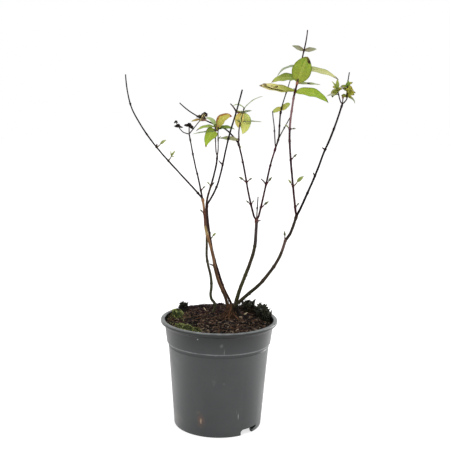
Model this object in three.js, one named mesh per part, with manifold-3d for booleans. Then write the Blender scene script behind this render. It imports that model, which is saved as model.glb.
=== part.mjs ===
// A potted tutsan in early spring: a leggy, nearly leafless shrub in a round nursery pot.
// Millimetres, +Z up. The origin is the middle of the pot's flat underside, +X is the plant's
// right seen from the front, and +Y points away from the front.

import * as THREE from 'three';
import { mergeVertices } from 'three/addons/utils/BufferGeometryUtils.js';
import Module from 'manifold-3d';

// Driving dimensions

const CLEARANCE = 0.3;

const POT = {
  height: 158,
  lipRadius: 85.4,
  lipThickness: 4.6,
  lipSlope: 3.8,
  mouthRadius: 79.8,
  bandTopRadius: 79.4,
  bandFootRadius: 76.2,
  bandFootHeight: 125,
  stepDepth: 2.2,
  baseRadius: 64.4,
  wall: 1.3,
  floorThickness: 1.6,
  padRadius: 46,
  gutterInner: 49,
  gutterOuter: 58,
  gutterHeight: 6,
  footRingInner: 60,
  sides: 40,
};

const NOTCH = { count: 2, width: 32, height: 8.5, toothWidth: 9, firstBearing: -44.5 };

const SOIL = {
  edgeHeight: 151,
  crownHeight: 157,
  backRise: 9.5,
  lump: 0.9,
  sectors: 26,
  rings: 6,
  footSeat: 10,
  crownSeat: 21,
};

const CROWN = { x: 19, y: 13, width: 28, depth: 22, height: 20, sides: 12 };

const LIMB_STEP = 16;
const NODE_SWELLING = 0.5;
const NODE_HALF_LENGTH = 3;
const RING_SPACING = 5;
const FORK_SWELLING = 0.6;
const LEAF_THICKNESS = 0.022;
const LEAF_FOLD = 0.22;
const SMALL_LEAF = 16;
const SEPALS = 4;
const PATCH_INSET = 2.3;

const COLOURS = {
  pot: 0x4c5052,
  soil: 0x2f2420,
  moss: 0x5d7a2a,
  darkMoss: 0x2b2d22,
  crown: 0x4a3526,
  greenStem: 0x555a3e,
  tanStem: 0x8a5f3a,
  brownStem: 0x3f2a22,
  redStem: 0x4b1f24,
  deadStem: 0x6f655c,
  leaf: 0x93ad35,
  seedHead: 0x1f1715,
};

// A sprig is a pair of narrow young leaves that part from one place, a leaf is a single one and a
// bare shoot a thin twig. Its width is a share of its length, but not less than the least width.

const SHOOT_KINDS = {
  sprig: { spreads: [17, -17], slimness: 0.34, least: 2 },
  leaf: { spreads: [0], slimness: 0.26, least: 1.8 },
  bare: { spreads: [0], slimness: 0, least: 1.4 },
};

// Limbs. A limb starts on the crown, on the soil or at the tip of the limb that it grows from.
// bends gives its lean to the right in degrees at a distance along it in millimetres, and swing
// how far it leans away from the front. nodes are the places of the swollen leaf joints, and a
// shoot is what sprouts from one side of the limb at such a place, one of SHOOT_KINDS.

const LIMBS = {
  stem_a: {
    start: [-11.4, 34, 155.6],
    length: 243.5,
    bends: [[0, 40], [12, 8], [21, -46], [29, -10], [38, 10], [50, -4], [74, -17], [100, 1],
      [108, 0], [160, -3], [188, 17], [225, 12], [243.5, 2]],
    swing: 1.4,
    radii: [2.2, 1.3],
    nodes: [16, 50, 84, 130, 198.5, 240],
    shoots: [
      { kind: 'leaf', at: 198.5, heading: 180, rise: 45, length: 8 },
      { kind: 'bare', at: 198.5, heading: 0, rise: 50, length: 7 },
    ],
    colour: 'greenStem',
  },
  stem_b: {
    from: 'root_crown',
    start: [12.4, 12, 164],
    length: 175,
    bends: [[0, -2], [12, -8], [28, -25], [44, -23], [64, -14], [80, -9], [94, -14], [122, -18],
      [139, -3], [175, -10]],
    swing: -1.5,
    radii: [2.3, 1.7],
    nodes: [34, 74, 122, 153, 172],
    shoots: [
      { kind: 'bare', at: 74, heading: 180, rise: 22, length: 8 },
      { kind: 'leaf', at: 153, heading: 180, rise: 45, length: 9 },
    ],
    colour: 'tanStem',
  },
  stem_c: {
    from: 'root_crown',
    start: [20.6, 17, 170],
    length: 160,
    bends: [[0, -26], [22, -28], [44, -18], [68, -18], [98, -11], [128, -8], [160, -2]],
    swing: 2,
    radii: [1.9, 1.35],
    nodes: [38, 76, 118, 157],
    shoots: [
      { kind: 'leaf', at: 109, heading: 0, rise: 52, length: 12 },
    ],
    colour: 'brownStem',
  },
  bough_b_left: {
    from: 'stem_b',
    length: 217,
    bends: [[0, -38], [25, -42], [80, -41], [110, -37], [160, -27], [180, -12], [217, -1]],
    swing: -18.4,
    radii: [1.35, 0.8],
    nodes: [11, 78, 104, 127.5, 176],
    shoots: [
      { kind: 'sprig', at: 78, heading: 0, rise: 57, length: 17 },
      { kind: 'leaf', at: 104, heading: 0, rise: 42, length: 16 },
      { kind: 'bare', at: 104, heading: 80, rise: 72, length: 5 },
    ],
    colour: 'redStem',
  },
  bough_b_right: {
    from: 'stem_b',
    length: 105.5,
    bends: [[0, -15], [20, -13], [40, -16.5], [75, -12.5], [105.5, -12.5]],
    swing: 27.5,
    radii: [1.3, 1.0],
    nodes: [13, 40, 72, 96],
    shoots: [
      { kind: 'leaf', at: 13, heading: 0, rise: 50, length: 9.5 },
    ],
    colour: 'brownStem',
  },
  bough_c: {
    from: 'stem_c',
    length: 187,
    bends: [[0, 32], [25, 24], [45, 14], [80, 10], [115, 13], [135, 16], [150, 15], [187, 13]],
    swing: -22.6,
    radii: [1.45, 1.0],
    nodes: [33, 71, 112, 154],
    shoots: [
      { kind: 'bare', at: 71, heading: 180, rise: 46, length: 8 },
      { kind: 'bare', at: 154, heading: 180, rise: 50, length: 14 },
      { kind: 'leaf', at: 154, heading: 0, rise: -3, length: 13 },
    ],
    colour: 'redStem',
  },
  stem_d: {
    from: 'root_crown',
    start: [22.5, 13, 171],
    length: 137,
    bends: [[0, 14], [14, 14], [38, 20], [62, 20], [88, 14], [107, 2], [137, 1]],
    swing: -1,
    radii: [2.9, 2.2],
    nodes: [52, 98, 134],
    shoots: [
      { kind: 'bare', at: 135, heading: 0, rise: 12, length: 6 },
    ],
    colour: 'brownStem',
  },
  bough_d_left: {
    from: 'stem_d',
    length: 123,
    bends: [[0, -57], [8, -16], [28, -14], [60, -10], [100, -13], [123, -17]],
    swing: 24,
    radii: [1.5, 1.25],
    nodes: [25, 60.5, 92, 120],
    shoots: [
      { kind: 'leaf', at: 25, heading: 180, rise: 42, length: 9.5 },
      { kind: 'leaf', at: 25, heading: 0, rise: 60, length: 8 },
      { kind: 'leaf', at: 60.5, heading: 180, rise: 36, length: 13.5 },
      { kind: 'leaf', at: 60.5, heading: 0, rise: 40, length: 10.5 },
      { kind: 'leaf', at: 114, heading: 0, rise: 66, length: 5 },
    ],
    colour: 'redStem',
  },
  bough_d_arch: {
    from: 'bough_d_left',
    length: 112,
    bends: [[0, -36], [20, -46], [35, -62], [45, -76], [55, -68], [85, -60], [112, -46]],
    swing: 14,
    radii: [1.25, 0.85],
    nodes: [34, 76],
    shoots: [],
    colour: 'redStem',
  },
  bough_d_right: {
    from: 'stem_d',
    length: 109,
    bends: [[0, 44], [7, 14], [30, 12], [75, 12], [95, 17], [109, 17]],
    swing: 13,
    radii: [1.5, 1.3],
    nodes: [19, 53.5, 82, 106],
    shoots: [
      { kind: 'leaf', at: 19, heading: 0, rise: 43, length: 14.5 },
      { kind: 'bare', at: 53.5, heading: 180, rise: 45, length: 11.5 },
      { kind: 'leaf', at: 53.5, heading: 0, rise: 57, length: 14 },
    ],
    colour: 'redStem',
  },
  bough_d_right_top: {
    from: 'bough_d_right',
    length: 55,
    bends: [[0, 19], [12, 16], [22, 1], [45, 3], [55, 9]],
    swing: 7,
    radii: [1.3, 1.1],
    nodes: [13, 34, 53],
    shoots: [],
    colour: 'redStem',
  },
  twig_d_right: {
    from: 'bough_d_right_top',
    fromDistance: 13,
    length: 37,
    bends: [[0, 20], [14, 27], [37, 26]],
    swing: -12,
    radii: [0.85, 0.65],
    nodes: [20],
    shoots: [],
    colour: 'redStem',
  },
  snag_d_right: {
    from: 'bough_d_right',
    length: 56,
    bends: [[0, -6], [25, -5], [40, -10], [56, -6]],
    swing: -13,
    radii: [0.95, 0.7],
    nodes: [26],
    shoots: [],
    colour: 'deadStem',
  },
  snag_d: {
    from: 'stem_d',
    length: 36,
    bends: [[0, 1], [36, 2]],
    swing: -16,
    radii: [1.0, 0.75],
    nodes: [18],
    shoots: [],
    colour: 'deadStem',
  },
  stem_e: {
    from: 'root_crown',
    start: [22, 8.5, 173.6],
    length: 168,
    bends: [[0, 42], [12, 46], [42, 48], [57, 38], [82, 33.2], [102, 23.2], [117, 15],
      [126, 13], [129, 34], [137, 34], [141, 20], [150, 18], [168, 13.2]],
    swing: -5,
    radii: [2.7, 1.9],
    nodes: [30, 58, 85, 128, 164],
    shoots: [
      { kind: 'leaf', at: 128, heading: 180, rise: 84, length: 14 },
    ],
    colour: 'brownStem',
  },
  bough_e_left: {
    from: 'stem_e',
    length: 170,
    bends: [[0, -17], [8, -8], [60, -7], [100, -5], [120, 0], [145, 6], [170, 8]],
    swing: -1.4,
    radii: [1.6, 1.4],
    nodes: [12.5, 43, 81, 108, 124.5, 149.5, 167],
    shoots: [
      { kind: 'leaf', at: 12.5, heading: 0, rise: 52, length: 9 },
      { kind: 'leaf', at: 43, heading: 180, rise: 57, length: 11.5 },
      { kind: 'leaf', at: 43, heading: 0, rise: 49, length: 20 },
      { kind: 'leaf', at: 81, heading: 0, rise: 47, length: 12 },
      { kind: 'leaf', at: 124.5, heading: 180, rise: 44, length: 8.5 },
      { kind: 'leaf', at: 124.5, heading: 0, rise: 8, length: 8.5 },
    ],
    colour: 'redStem',
  },
  bough_e_right: {
    from: 'stem_e',
    length: 176,
    bends: [[0, 27], [15, 20], [50, 19.6], [95, 15], [112, 21.5], [128, 17], [176, 12.5]],
    swing: -18,
    radii: [1.7, 1.2],
    nodes: [38.5, 67, 108, 140, 173],
    shoots: [
      { kind: 'bare', at: 67, heading: 180, rise: 60, length: 5 },
      { kind: 'bare', at: 108, heading: 180, rise: 35, length: 5 },
    ],
    colour: 'redStem',
  },
};

// Masses of foliage. The twigs of a mass grow from its bough's tip, the first one being its stem.
// A leaf's heading is 0 to the right, 90 away from the front, 180 to the left and 270 to the front.
// It rises at its foot, droops along its length, and tilts its face to the front, in degrees.

const MASSES = {
  leaves_a: {
    from: 'stem_a',
    reach: 46,
    middle: 24,
    colour: 'leaf',
    twigs: [
      { length: 43.5, bends: [[0, -25], [8, -4], [43.5, -1]], swing: -4, radii: [1.0, 0.8] },
      { length: 42.5, bends: [[0, 12], [10, 1], [31, -4], [42.5, 14]], swing: 7,
        radii: [1.0, 0.75] },
    ],
    leaves: [
      { twig: 0, at: 38, heading: 188, rise: -40, droop: 50, tilt: 66, length: 30.5, width: 19 },
      { twig: 0, at: 42.5, heading: 180, rise: 10, droop: 48, tilt: 24, length: 30, width: 10 },
      { twig: 0, at: 37.5, heading: 168, rise: -8, droop: 2, tilt: 12, length: 34, width: 8 },
      { twig: 0, at: 42.5, heading: 176, rise: 80, droop: 85, tilt: 45, length: 22, width: 8 },
      { twig: 0, at: 42.5, heading: 280, rise: 45, droop: 30, tilt: 10, length: 11, width: 5 },
      { twig: 1, at: 40.5, heading: 350, rise: 86, droop: 98, tilt: 52, length: 31, width: 17 },
      { twig: 1, at: 41.5, heading: 0, rise: 10, droop: 30, tilt: 32, length: 24, width: 9 },
      { twig: 1, at: 40.5, heading: 82, rise: 30, droop: 60, tilt: 0, length: 24, width: 12 },
      { twig: 1, at: 24.5, heading: 30, rise: 50, droop: 10, tilt: 10, length: 7, width: 3 },
    ],
    heads: [],
  },
  seed_heads_b: {
    from: 'bough_b_right',
    reach: 44,
    middle: 18,
    colour: 'seedHead',
    twigs: [
      { length: 13, bends: [[0, -2], [13, 0]], swing: 6, radii: [0.95, 0.75] },
      { length: 28, bends: [[0, -80], [8, -70], [11, -45], [18, -38], [28, -20]], swing: -4,
        radii: [0.85, 0.6] },
      { length: 37, bends: [[0, 37], [15, 39], [30, 34], [37, 36]], swing: 2, radii: [0.85, 0.6] },
    ],
    leaves: [
      { twig: 2, at: 28, heading: 182, rise: -12, droop: 5, tilt: 35, length: 15, width: 6 },
      { twig: 2, at: 33, heading: 0, rise: 10, droop: 40, tilt: 25, length: 8, width: 4 },
    ],
    heads: [
      { twig: 0, at: 12, size: 6.2 },
      { twig: 1, at: 20.5, size: 5.4 },
      { twig: 1, at: 28, size: 3.4 },
      { twig: 2, at: 31, size: 7 },
      { twig: 2, at: 37, size: 5 },
    ],
  },
  leaves_d_left: {
    from: 'bough_d_left',
    reach: 52,
    middle: 34,
    colour: 'leaf',
    twigs: [
      { length: 53, bends: [[0, 8], [12, -3], [28, 13], [46, 12], [53, 22]], swing: 3,
        radii: [1.15, 0.7] },
    ],
    leaves: [
      { twig: 0, at: 5, heading: 202, rise: 6, droop: 4, tilt: 30, length: 31, width: 12 },
      { twig: 0, at: 32, heading: 8, rise: 3, droop: 4, tilt: 8, length: 32, width: 9 },
      { twig: 0, at: 46, heading: 24, rise: -62, droop: 62, tilt: 78, length: 33.5, width: 17.5 },
      { twig: 0, at: 46, heading: 160, rise: -58, droop: 34, tilt: 66, length: 24, width: 15 },
      { twig: 0, at: 46, heading: 5, rise: 16, droop: 6, tilt: 25, length: 14, width: 7 },
      { twig: 0, at: 46, heading: 95, rise: 15, droop: 50, tilt: 0, length: 32, width: 15 },
      { twig: 0, at: 52, heading: 355, rise: 52, droop: 38, tilt: 4, length: 34, width: 8 },
      { twig: 0, at: 52.5, heading: 180, rise: 50, droop: 90, tilt: 6, length: 20, width: 7 },
    ],
    heads: [],
  },
  leaves_d_right: {
    from: 'bough_d_right_top',
    reach: 34,
    middle: 22,
    colour: 'leaf',
    twigs: [{ length: 52, bends: [[0, 10], [14, 17], [52, 17]], swing: 7, radii: [0.95, 0.65] }],
    leaves: [
      { twig: 0, at: 4, heading: 164, rise: -14, droop: 20, tilt: 50, length: 14, width: 9 },
      { twig: 0, at: 2, heading: 16, rise: 40, droop: 6, tilt: 50, length: 17, width: 9.5 },
      { twig: 0, at: 28, heading: 90, rise: 40, droop: 40, tilt: 0, length: 13, width: 6 },
      { twig: 0, at: 49, heading: 100, rise: 35, droop: 40, tilt: 0, length: 17, width: 8 },
      { twig: 0, at: 49, heading: 280, rise: 50, droop: 30, tilt: 0, length: 12, width: 6 },
    ],
    heads: [],
  },
  leaves_e_left: {
    from: 'bough_e_left',
    reach: 66,
    middle: 36,
    colour: 'leaf',
    twigs: [
      { length: 93, bends: [[0, 13], [18, 12], [48, 9], [66, 13], [93, 4]], swing: 4,
        radii: [1.45, 0.8] },
    ],
    leaves: [
      { twig: 0, at: 6, heading: 345, rise: 6, droop: 50, tilt: 42, length: 51, width: 18 },
      { twig: 0, at: 8, heading: 190, rise: 3, droop: -8, tilt: 38, length: 52, width: 17 },
      { twig: 0, at: 18, heading: 10, rise: 0, droop: 2, tilt: 22, length: 34, width: 10 },
      { twig: 0, at: 25, heading: 172, rise: 11, droop: 44, tilt: 40, length: 39, width: 17 },
      { twig: 0, at: 20, heading: 320, rise: 67, droop: 4, tilt: 80, length: 38, width: 27 },
      { twig: 0, at: 22, heading: 100, rise: 22, droop: 45, tilt: 0, length: 38, width: 17 },
      { twig: 0, at: 41, heading: 176, rise: 12, droop: 74, tilt: 14, length: 37, width: 12 },
      { twig: 0, at: 38, heading: 348, rise: 2, droop: 36, tilt: 34, length: 57, width: 14 },
      { twig: 0, at: 42, heading: 80, rise: 30, droop: 50, tilt: 0, length: 27, width: 13 },
      { twig: 0, at: 64.5, heading: 180, rise: 22, droop: 2, tilt: 30, length: 18, width: 7 },
      { twig: 0, at: 64.5, heading: 0, rise: 8, droop: 0, tilt: 30, length: 18, width: 7 },
    ],
    heads: [],
  },
  leaves_e_right: {
    from: 'bough_e_right',
    reach: 36,
    middle: 18,
    colour: 'leaf',
    twigs: [
      { length: 44, bends: [[0, 50], [4, 42], [8, 30], [10, 2], [28, -2], [31, 4], [35, 8],
        [44, 6]], swing: -4, radii: [0.9, 0.7] },
      { length: 23, bends: [[0, -45], [5, -22], [10, -14], [23, -14]], swing: 6,
        radii: [0.85, 0.65] },
      { length: 9, bends: [[0, 8], [9, 5]], swing: 16, radii: [0.75, 0.6] },
    ],
    leaves: [
      { twig: 1, at: 21, heading: 95, rise: 80, droop: 8, tilt: 60, length: 14, width: 5 },
      { twig: 1, at: 21, heading: 180, rise: 57, droop: 8, tilt: 40, length: 13, width: 4.5 },
      { twig: 1, at: 20, heading: 196, rise: -28, droop: 60, tilt: 50, length: 13, width: 9 },
      { twig: 1, at: 20, heading: 2, rise: 34, droop: 15, tilt: 20, length: 9, width: 4.5 },
      { twig: 1, at: 14, heading: 188, rise: 2, droop: 24, tilt: 40, length: 17, width: 5 },
      { twig: 1, at: 20, heading: 270, rise: 20, droop: 40, tilt: 0, length: 12, width: 6 },
      { twig: 1, at: 20, heading: 85, rise: 15, droop: 40, tilt: 0, length: 13, width: 6 },
      { twig: 0, at: 12, heading: 350, rise: -8, droop: 70, tilt: 30, length: 15, width: 5 },
      { twig: 0, at: 13, heading: 350, rise: -20, droop: 30, tilt: 40, length: 9, width: 6 },
      { twig: 0, at: 15, heading: 320, rise: 10, droop: 30, tilt: 55, length: 11, width: 8 },
      { twig: 0, at: 18, heading: 280, rise: 30, droop: 40, tilt: 60, length: 11, width: 8 },
      { twig: 0, at: 20, heading: 190, rise: 30, droop: 25, tilt: 50, length: 8, width: 6 },
      { twig: 0, at: 22, heading: 300, rise: 20, droop: 30, tilt: 60, length: 10, width: 7 },
      { twig: 0, at: 23, heading: 0, rise: -5, droop: 30, tilt: 40, length: 9, width: 6 },
      { twig: 0, at: 24, heading: 275, rise: 72, droop: 20, tilt: 60, length: 10, width: 6 },
      { twig: 0, at: 22, heading: 82, rise: 15, droop: 35, tilt: 0, length: 13, width: 7 },
      { twig: 2, at: 7, heading: 200, rise: 84, droop: 5, tilt: 60, length: 6, width: 4.5 },
    ],
    heads: [],
  },
};

// Moss and dead litter on the soil: place, half widths, turn in degrees, height, and the number
// of withered leaves that stand out of it

const PATCHES = {
  moss_left: { x: -64, y: 25, halfX: 11, halfY: 22, turn: 18, height: 8, spikes: 0 },
  moss_front: { x: -46, y: -41, halfX: 32, halfY: 10, turn: -46, height: 4, spikes: 0 },
  litter_left: { x: -56, y: 49, halfX: 10, halfY: 7, turn: -50, height: 9, spikes: 3 },
  moss_hump: { x: 44, y: 47, halfX: 13, halfY: 10, turn: 0, height: 12, spikes: 3 },
  litter_tuft: { x: 65, y: 22, halfX: 10, halfY: 22, turn: 18, height: 10, spikes: 5 },
};

const radians = THREE.MathUtils.degToRad;
const lerp = THREE.MathUtils.lerp;
const FRONT = new THREE.Vector3(0, -1, 0);

// A repeatable source of numbers from 0 to 1

function seededNumbers(seed) {
  let state = seed;
  return () => {
    state = (state + 0x6d2b79f5) | 0;
    let mixed = Math.imul(state ^ (state >>> 15), 1 | state);
    mixed = (mixed + Math.imul(mixed ^ (mixed >>> 7), 61 | mixed)) ^ mixed;
    return ((mixed ^ (mixed >>> 14)) >>> 0) / 4294967296;
  };
}

// Solids

const wasm = await Module();
wasm.setup();

function solidFromTriangles(positions, triangles) {
  const mesh = new wasm.Mesh({
    numProp: 3,
    vertProperties: new Float32Array(positions),
    triVerts: new Uint32Array(triangles),
  });
  return new wasm.Manifold(mesh);
}

function solidFromGeometry(geometry) {
  const bare = geometry.clone();
  bare.deleteAttribute('normal');
  bare.deleteAttribute('uv');
  const merged = mergeVertices(bare, 1e-4);
  return solidFromTriangles(merged.attributes.position.array, merged.index.array);
}

function geometryFromSolid(solid) {
  const mesh = solid.getMesh();
  const geometry = new THREE.BufferGeometry();
  geometry.setAttribute('position', new THREE.BufferAttribute(mesh.vertProperties.slice(), 3));
  geometry.setIndex(new THREE.BufferAttribute(mesh.triVerts.slice(), 1));
  geometry.computeVertexNormals();
  return geometry;
}

function largestPiece(solid) {
  const pieces = solid.decompose();
  return pieces.reduce((best, piece) => (piece.volume() > best.volume() ? piece : best));
}

function boxesMeet(first, second) {
  const a = first.boundingBox();
  const b = second.boundingBox();
  return [0, 1, 2].every((axis) => a.min[axis] < b.max[axis] && b.min[axis] < a.max[axis]);
}

function solidsMeet(first, second) {
  return boxesMeet(first, second) && !first.intersect(second).isEmpty();
}

// Joins rings of equally many points into one closed skin, with a point at either end

function skinOfRings(rings, firstPoint, lastPoint) {
  const count = rings[0].length;
  const positions = [];
  const triangles = [];
  for (const { x, y, z } of [...rings.flat(), firstPoint, lastPoint]) positions.push(x, y, z);
  const firstIndex = rings.length * count;
  const lastIndex = firstIndex + 1;
  for (let side = 0; side < count; side += 1) {
    const next = (side + 1) % count;
    triangles.push(firstIndex, next, side);
    for (let ring = 0; ring < rings.length - 1; ring += 1) {
      const low = ring * count;
      const high = low + count;
      triangles.push(low + side, low + next, high + next, low + side, high + next, high + side);
    }
    const top = (rings.length - 1) * count;
    triangles.push(top + side, top + next, lastIndex);
  }
  return solidFromTriangles(positions, triangles);
}

// Pot

function potProfile() {
  const p = POT;
  const lipBottom = p.height - p.lipThickness;
  const innerBandFoot = p.bandFootRadius - p.stepDepth - p.wall;
  const innerBase = p.baseRadius - p.wall;
  const gutterTop = p.gutterHeight + p.floorThickness;
  const outline = [
    [0, 0],
    [p.padRadius, 0],
    [p.gutterInner, p.gutterHeight],
    [p.gutterOuter, p.gutterHeight],
    [p.footRingInner, 0],
    [p.baseRadius - 0.5, 0],
    [p.baseRadius, 1],
    [p.bandFootRadius - p.stepDepth, p.bandFootHeight - 1.5],
    [p.bandFootRadius, p.bandFootHeight],
    [p.bandTopRadius, lipBottom - p.lipSlope],
    [p.lipRadius - 0.8, lipBottom],
    [p.lipRadius, lipBottom + 1],
    [p.lipRadius, p.height - 1],
    [p.lipRadius - 1, p.height],
    [p.mouthRadius + 0.8, p.height],
    [p.mouthRadius, p.height - 0.8],
    [p.bandTopRadius - p.wall, lipBottom - p.lipSlope - 1],
    [innerBandFoot + p.stepDepth, p.bandFootHeight + 1.2],
    [innerBandFoot, p.bandFootHeight - 3],
    [innerBase, gutterTop + 1],
    [innerBase - 1.2, gutterTop],
    [p.gutterInner - 1.4, gutterTop],
    [p.padRadius - 1.4, p.floorThickness],
    [0, p.floorThickness],
  ];
  return outline.map(([radius, height]) => new THREE.Vector2(radius, height));
}

// A half turn about X stands the lathe's Y axis up as Z

function latheSolid(profile, sides) {
  const lathe = new THREE.LatheGeometry(profile, sides);
  lathe.rotateX(Math.PI / 2);
  return solidFromGeometry(lathe);
}

// A drainage notch through the foot ring and wall, with a small tooth at one end

function notchSolid(bearing) {
  const half = NOTCH.width / 2;
  const shape = new THREE.Shape();
  shape.moveTo(-half, -1);
  shape.lineTo(half - NOTCH.toothWidth, -1);
  shape.lineTo(half - NOTCH.toothWidth, NOTCH.height * 0.45);
  shape.lineTo(half, NOTCH.height * 0.8);
  shape.lineTo(half, NOTCH.height);
  shape.lineTo(-half, NOTCH.height);
  const depth = POT.baseRadius - POT.gutterOuter + 6;
  const notch = new THREE.ExtrudeGeometry(shape, { depth, bevelEnabled: false });
  notch.rotateX(Math.PI / 2);
  notch.rotateZ(Math.PI / 2);
  notch.translate(POT.gutterOuter, 0, 0);
  notch.rotateZ(radians(bearing));
  return solidFromGeometry(notch);
}

function potSolid() {
  let pot = latheSolid(potProfile(), POT.sides);
  for (let i = 0; i < NOTCH.count; i += 1) {
    pot = pot.subtract(notchSolid(NOTCH.firstBearing + (i * 360) / NOTCH.count));
  }
  return pot;
}

// Soil

const FOOT_A = new THREE.Vector2(LIMBS.stem_a.start[0], LIMBS.stem_a.start[1]);
const FOOT_CROWN = new THREE.Vector2(CROWN.x, CROWN.y);

function soilHeight(x, y) {
  const reach = Math.min(1, Math.hypot(x, y) / (POT.mouthRadius - 4));
  const mound = lerp(SOIL.crownHeight, SOIL.edgeHeight, reach * reach);
  const waves = Math.sin(x * 0.21 + 1.3) * Math.cos(y * 0.17 - 0.4);
  const ripple = waves + 0.6 * Math.sin(x * 0.09 - y * 0.33);
  const place = new THREE.Vector2(x, y);
  const back = (SOIL.backRise * Math.max(y, 0) * reach) / POT.mouthRadius;
  const toFoot = place.distanceTo(FOOT_A) / SOIL.footSeat;
  const toCrown = place.distanceTo(FOOT_CROWN) / SOIL.crownSeat;
  const loose = THREE.MathUtils.smoothstep(Math.min(toFoot, toCrown), 0.9, 1.6);
  return lerp(SOIL.crownHeight, mound + back + ripple * SOIL.lump, loose);
}

// The pot's lip and upper wall, grown by the clearance, that moss and litter stay inside of

function rimSolid() {
  const low = POT.bandFootRadius - POT.wall - CLEARANCE;
  const inside = POT.bandTopRadius - POT.wall - CLEARANCE;
  const outside = POT.lipRadius + CLEARANCE;
  const top = POT.height + CLEARANCE;
  const corners = [
    [low, POT.bandFootHeight],
    [outside, POT.bandFootHeight],
    [outside, top],
    [inside, top],
    [inside, POT.height - POT.lipThickness - POT.lipSlope - 1],
    [low, POT.bandFootHeight],
  ];
  return latheSolid(corners.map(([radius, height]) => new THREE.Vector2(radius, height)), POT.sides);
}

// Inside of the pot's wall at a height, less the clearance

function soilRadius(height) {
  const gutterTop = POT.gutterHeight + POT.floorThickness;
  const innerBase = POT.baseRadius - POT.wall - 0.2;
  const innerBandFoot = POT.bandFootRadius - POT.stepDepth - POT.wall - 0.2;
  const rise = (height - gutterTop) / (POT.bandFootHeight - gutterTop);
  return lerp(innerBase, innerBandFoot, rise) - CLEARANCE - 0.3;
}

function soilSolid() {
  const floor = POT.gutterHeight + POT.floorThickness + CLEARANCE;
  const shoulder = POT.bandFootHeight - 4;
  const rings = [];
  const ringOf = (radius, heightAt) => {
    const ring = [];
    for (let i = 0; i < SOIL.sectors; i += 1) {
      const angle = (i * 2 * Math.PI) / SOIL.sectors;
      const x = radius * Math.cos(angle);
      const y = radius * Math.sin(angle);
      ring.push(new THREE.Vector3(x, y, heightAt(x, y)));
    }
    return ring;
  };
  rings.push(ringOf(soilRadius(floor) - 2, () => floor));
  rings.push(ringOf(soilRadius(floor + 3), () => floor + 3));
  rings.push(ringOf(soilRadius(shoulder), () => shoulder));
  const topRadius = POT.bandTopRadius - POT.wall - CLEARANCE - 0.8;
  rings.push(ringOf(topRadius, () => SOIL.edgeHeight - 3));
  for (let i = 0; i < SOIL.rings; i += 1) {
    rings.push(ringOf(topRadius * (1 - i / SOIL.rings) - (i === 0 ? 0.4 : 0), soilHeight));
  }
  const bottom = new THREE.Vector3(0, 0, floor);
  const top = new THREE.Vector3(0, 0, soilHeight(0, 0));
  return skinOfRings(rings, bottom, top);
}

// A patch of moss or litter, draped over the soil and then cut clear of it and of the pot

function patchSolid(patch, soil, rim, seed) {
  const random = seededNumbers(seed);
  const sectors = 10;
  const turn = new THREE.Matrix4().makeRotationZ(radians(patch.turn));
  const placeAt = (across, along) => {
    const place = new THREE.Vector3(patch.halfX * across, patch.halfY * along, 0).applyMatrix4(turn);
    place.add(new THREE.Vector3(patch.x, patch.y, 0));
    const widest = POT.bandTopRadius - POT.wall - PATCH_INSET;
    if (place.length() > widest) place.setLength(widest);
    place.z = soilHeight(place.x, place.y);
    return place;
  };
  const rings = [];
  const levels = [[1, -1.5], [1, 0.25], [0.82, 0.62], [0.55, 0.88], [0.28, 1]];
  const lobes = Array.from({ length: sectors }, () => 0.84 + 0.3 * random());
  for (const [share, rise] of levels) {
    const ring = [];
    for (let i = 0; i < sectors; i += 1) {
      const angle = (i * 2 * Math.PI) / sectors;
      const place = placeAt(share * lobes[i] * Math.cos(angle), share * lobes[i] * Math.sin(angle));
      const bump = share < 1 ? (random() - 0.5) * patch.height * 0.3 : 0;
      place.z += rise * patch.height + bump;
      ring.push(place);
    }
    rings.push(ring);
  }
  const bottom = placeAt(0, 0);
  bottom.z -= 1.5 * patch.height;
  const top = placeAt(0, 0);
  top.z += 1.02 * patch.height;
  let solid = skinOfRings(rings, bottom, top);
  for (let i = 0; i < patch.spikes; i += 1) {
    const bearing = (i * 360) / patch.spikes + 40 * random();
    const share = 0.3 + 0.3 * random();
    const root = placeAt(share * Math.cos(radians(bearing)), share * Math.sin(radians(bearing)));
    root.z += patch.height * 0.4;
    const length = patch.height * (1.2 + 0.7 * random());
    const rise = 52 + 30 * random();
    const withered = { heading: bearing, rise, droop: 30, tilt: 40, length, width: length * 0.5 };
    solid = solid.add(leafSolid(root, withered));
  }
  return largestPiece(solid.subtract(soil.translate([0, 0, CLEARANCE])).subtract(rim));
}

// The root crown: a knobbly stool that flares to a flat cut on the soil

function crownSolid(grow) {
  const levels = [[0, 1], [0.1, 0.93], [0.28, 0.8], [0.5, 0.7], [0.72, 0.62], [0.9, 0.47]];
  const foot = SOIL.crownHeight + CLEARANCE;
  const rings = levels.map(([rise, share], level) => {
    const ring = [];
    for (let i = 0; i < CROWN.sides; i += 1) {
      const angle = (i * 2 * Math.PI) / CROWN.sides;
      const knob = 1 + 0.09 * Math.sin(3 * angle + level * 0.5) + 0.05 * Math.cos(5 * angle - level);
      const x = CROWN.x + ((CROWN.width / 2) * share * knob + grow) * Math.cos(angle);
      const y = CROWN.y + ((CROWN.depth / 2) * share * knob + grow) * Math.sin(angle);
      const z = foot + rise * CROWN.height + (level === 0 ? -grow : 0);
      ring.push(new THREE.Vector3(x, y, z));
    }
    return ring;
  });
  const bottom = new THREE.Vector3(CROWN.x, CROWN.y, foot - grow);
  const top = new THREE.Vector3(CROWN.x, CROWN.y, foot + CROWN.height + grow);
  return skinOfRings(rings, bottom, top);
}

// Limbs

function valueAt(pairs, distance) {
  for (let i = 1; i < pairs.length; i += 1) {
    const [end, endValue] = pairs[i];
    const [start, startValue] = pairs[i - 1];
    if (distance <= end) return lerp(startValue, endValue, (distance - start) / (end - start));
  }
  return pairs[pairs.length - 1][1];
}

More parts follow.
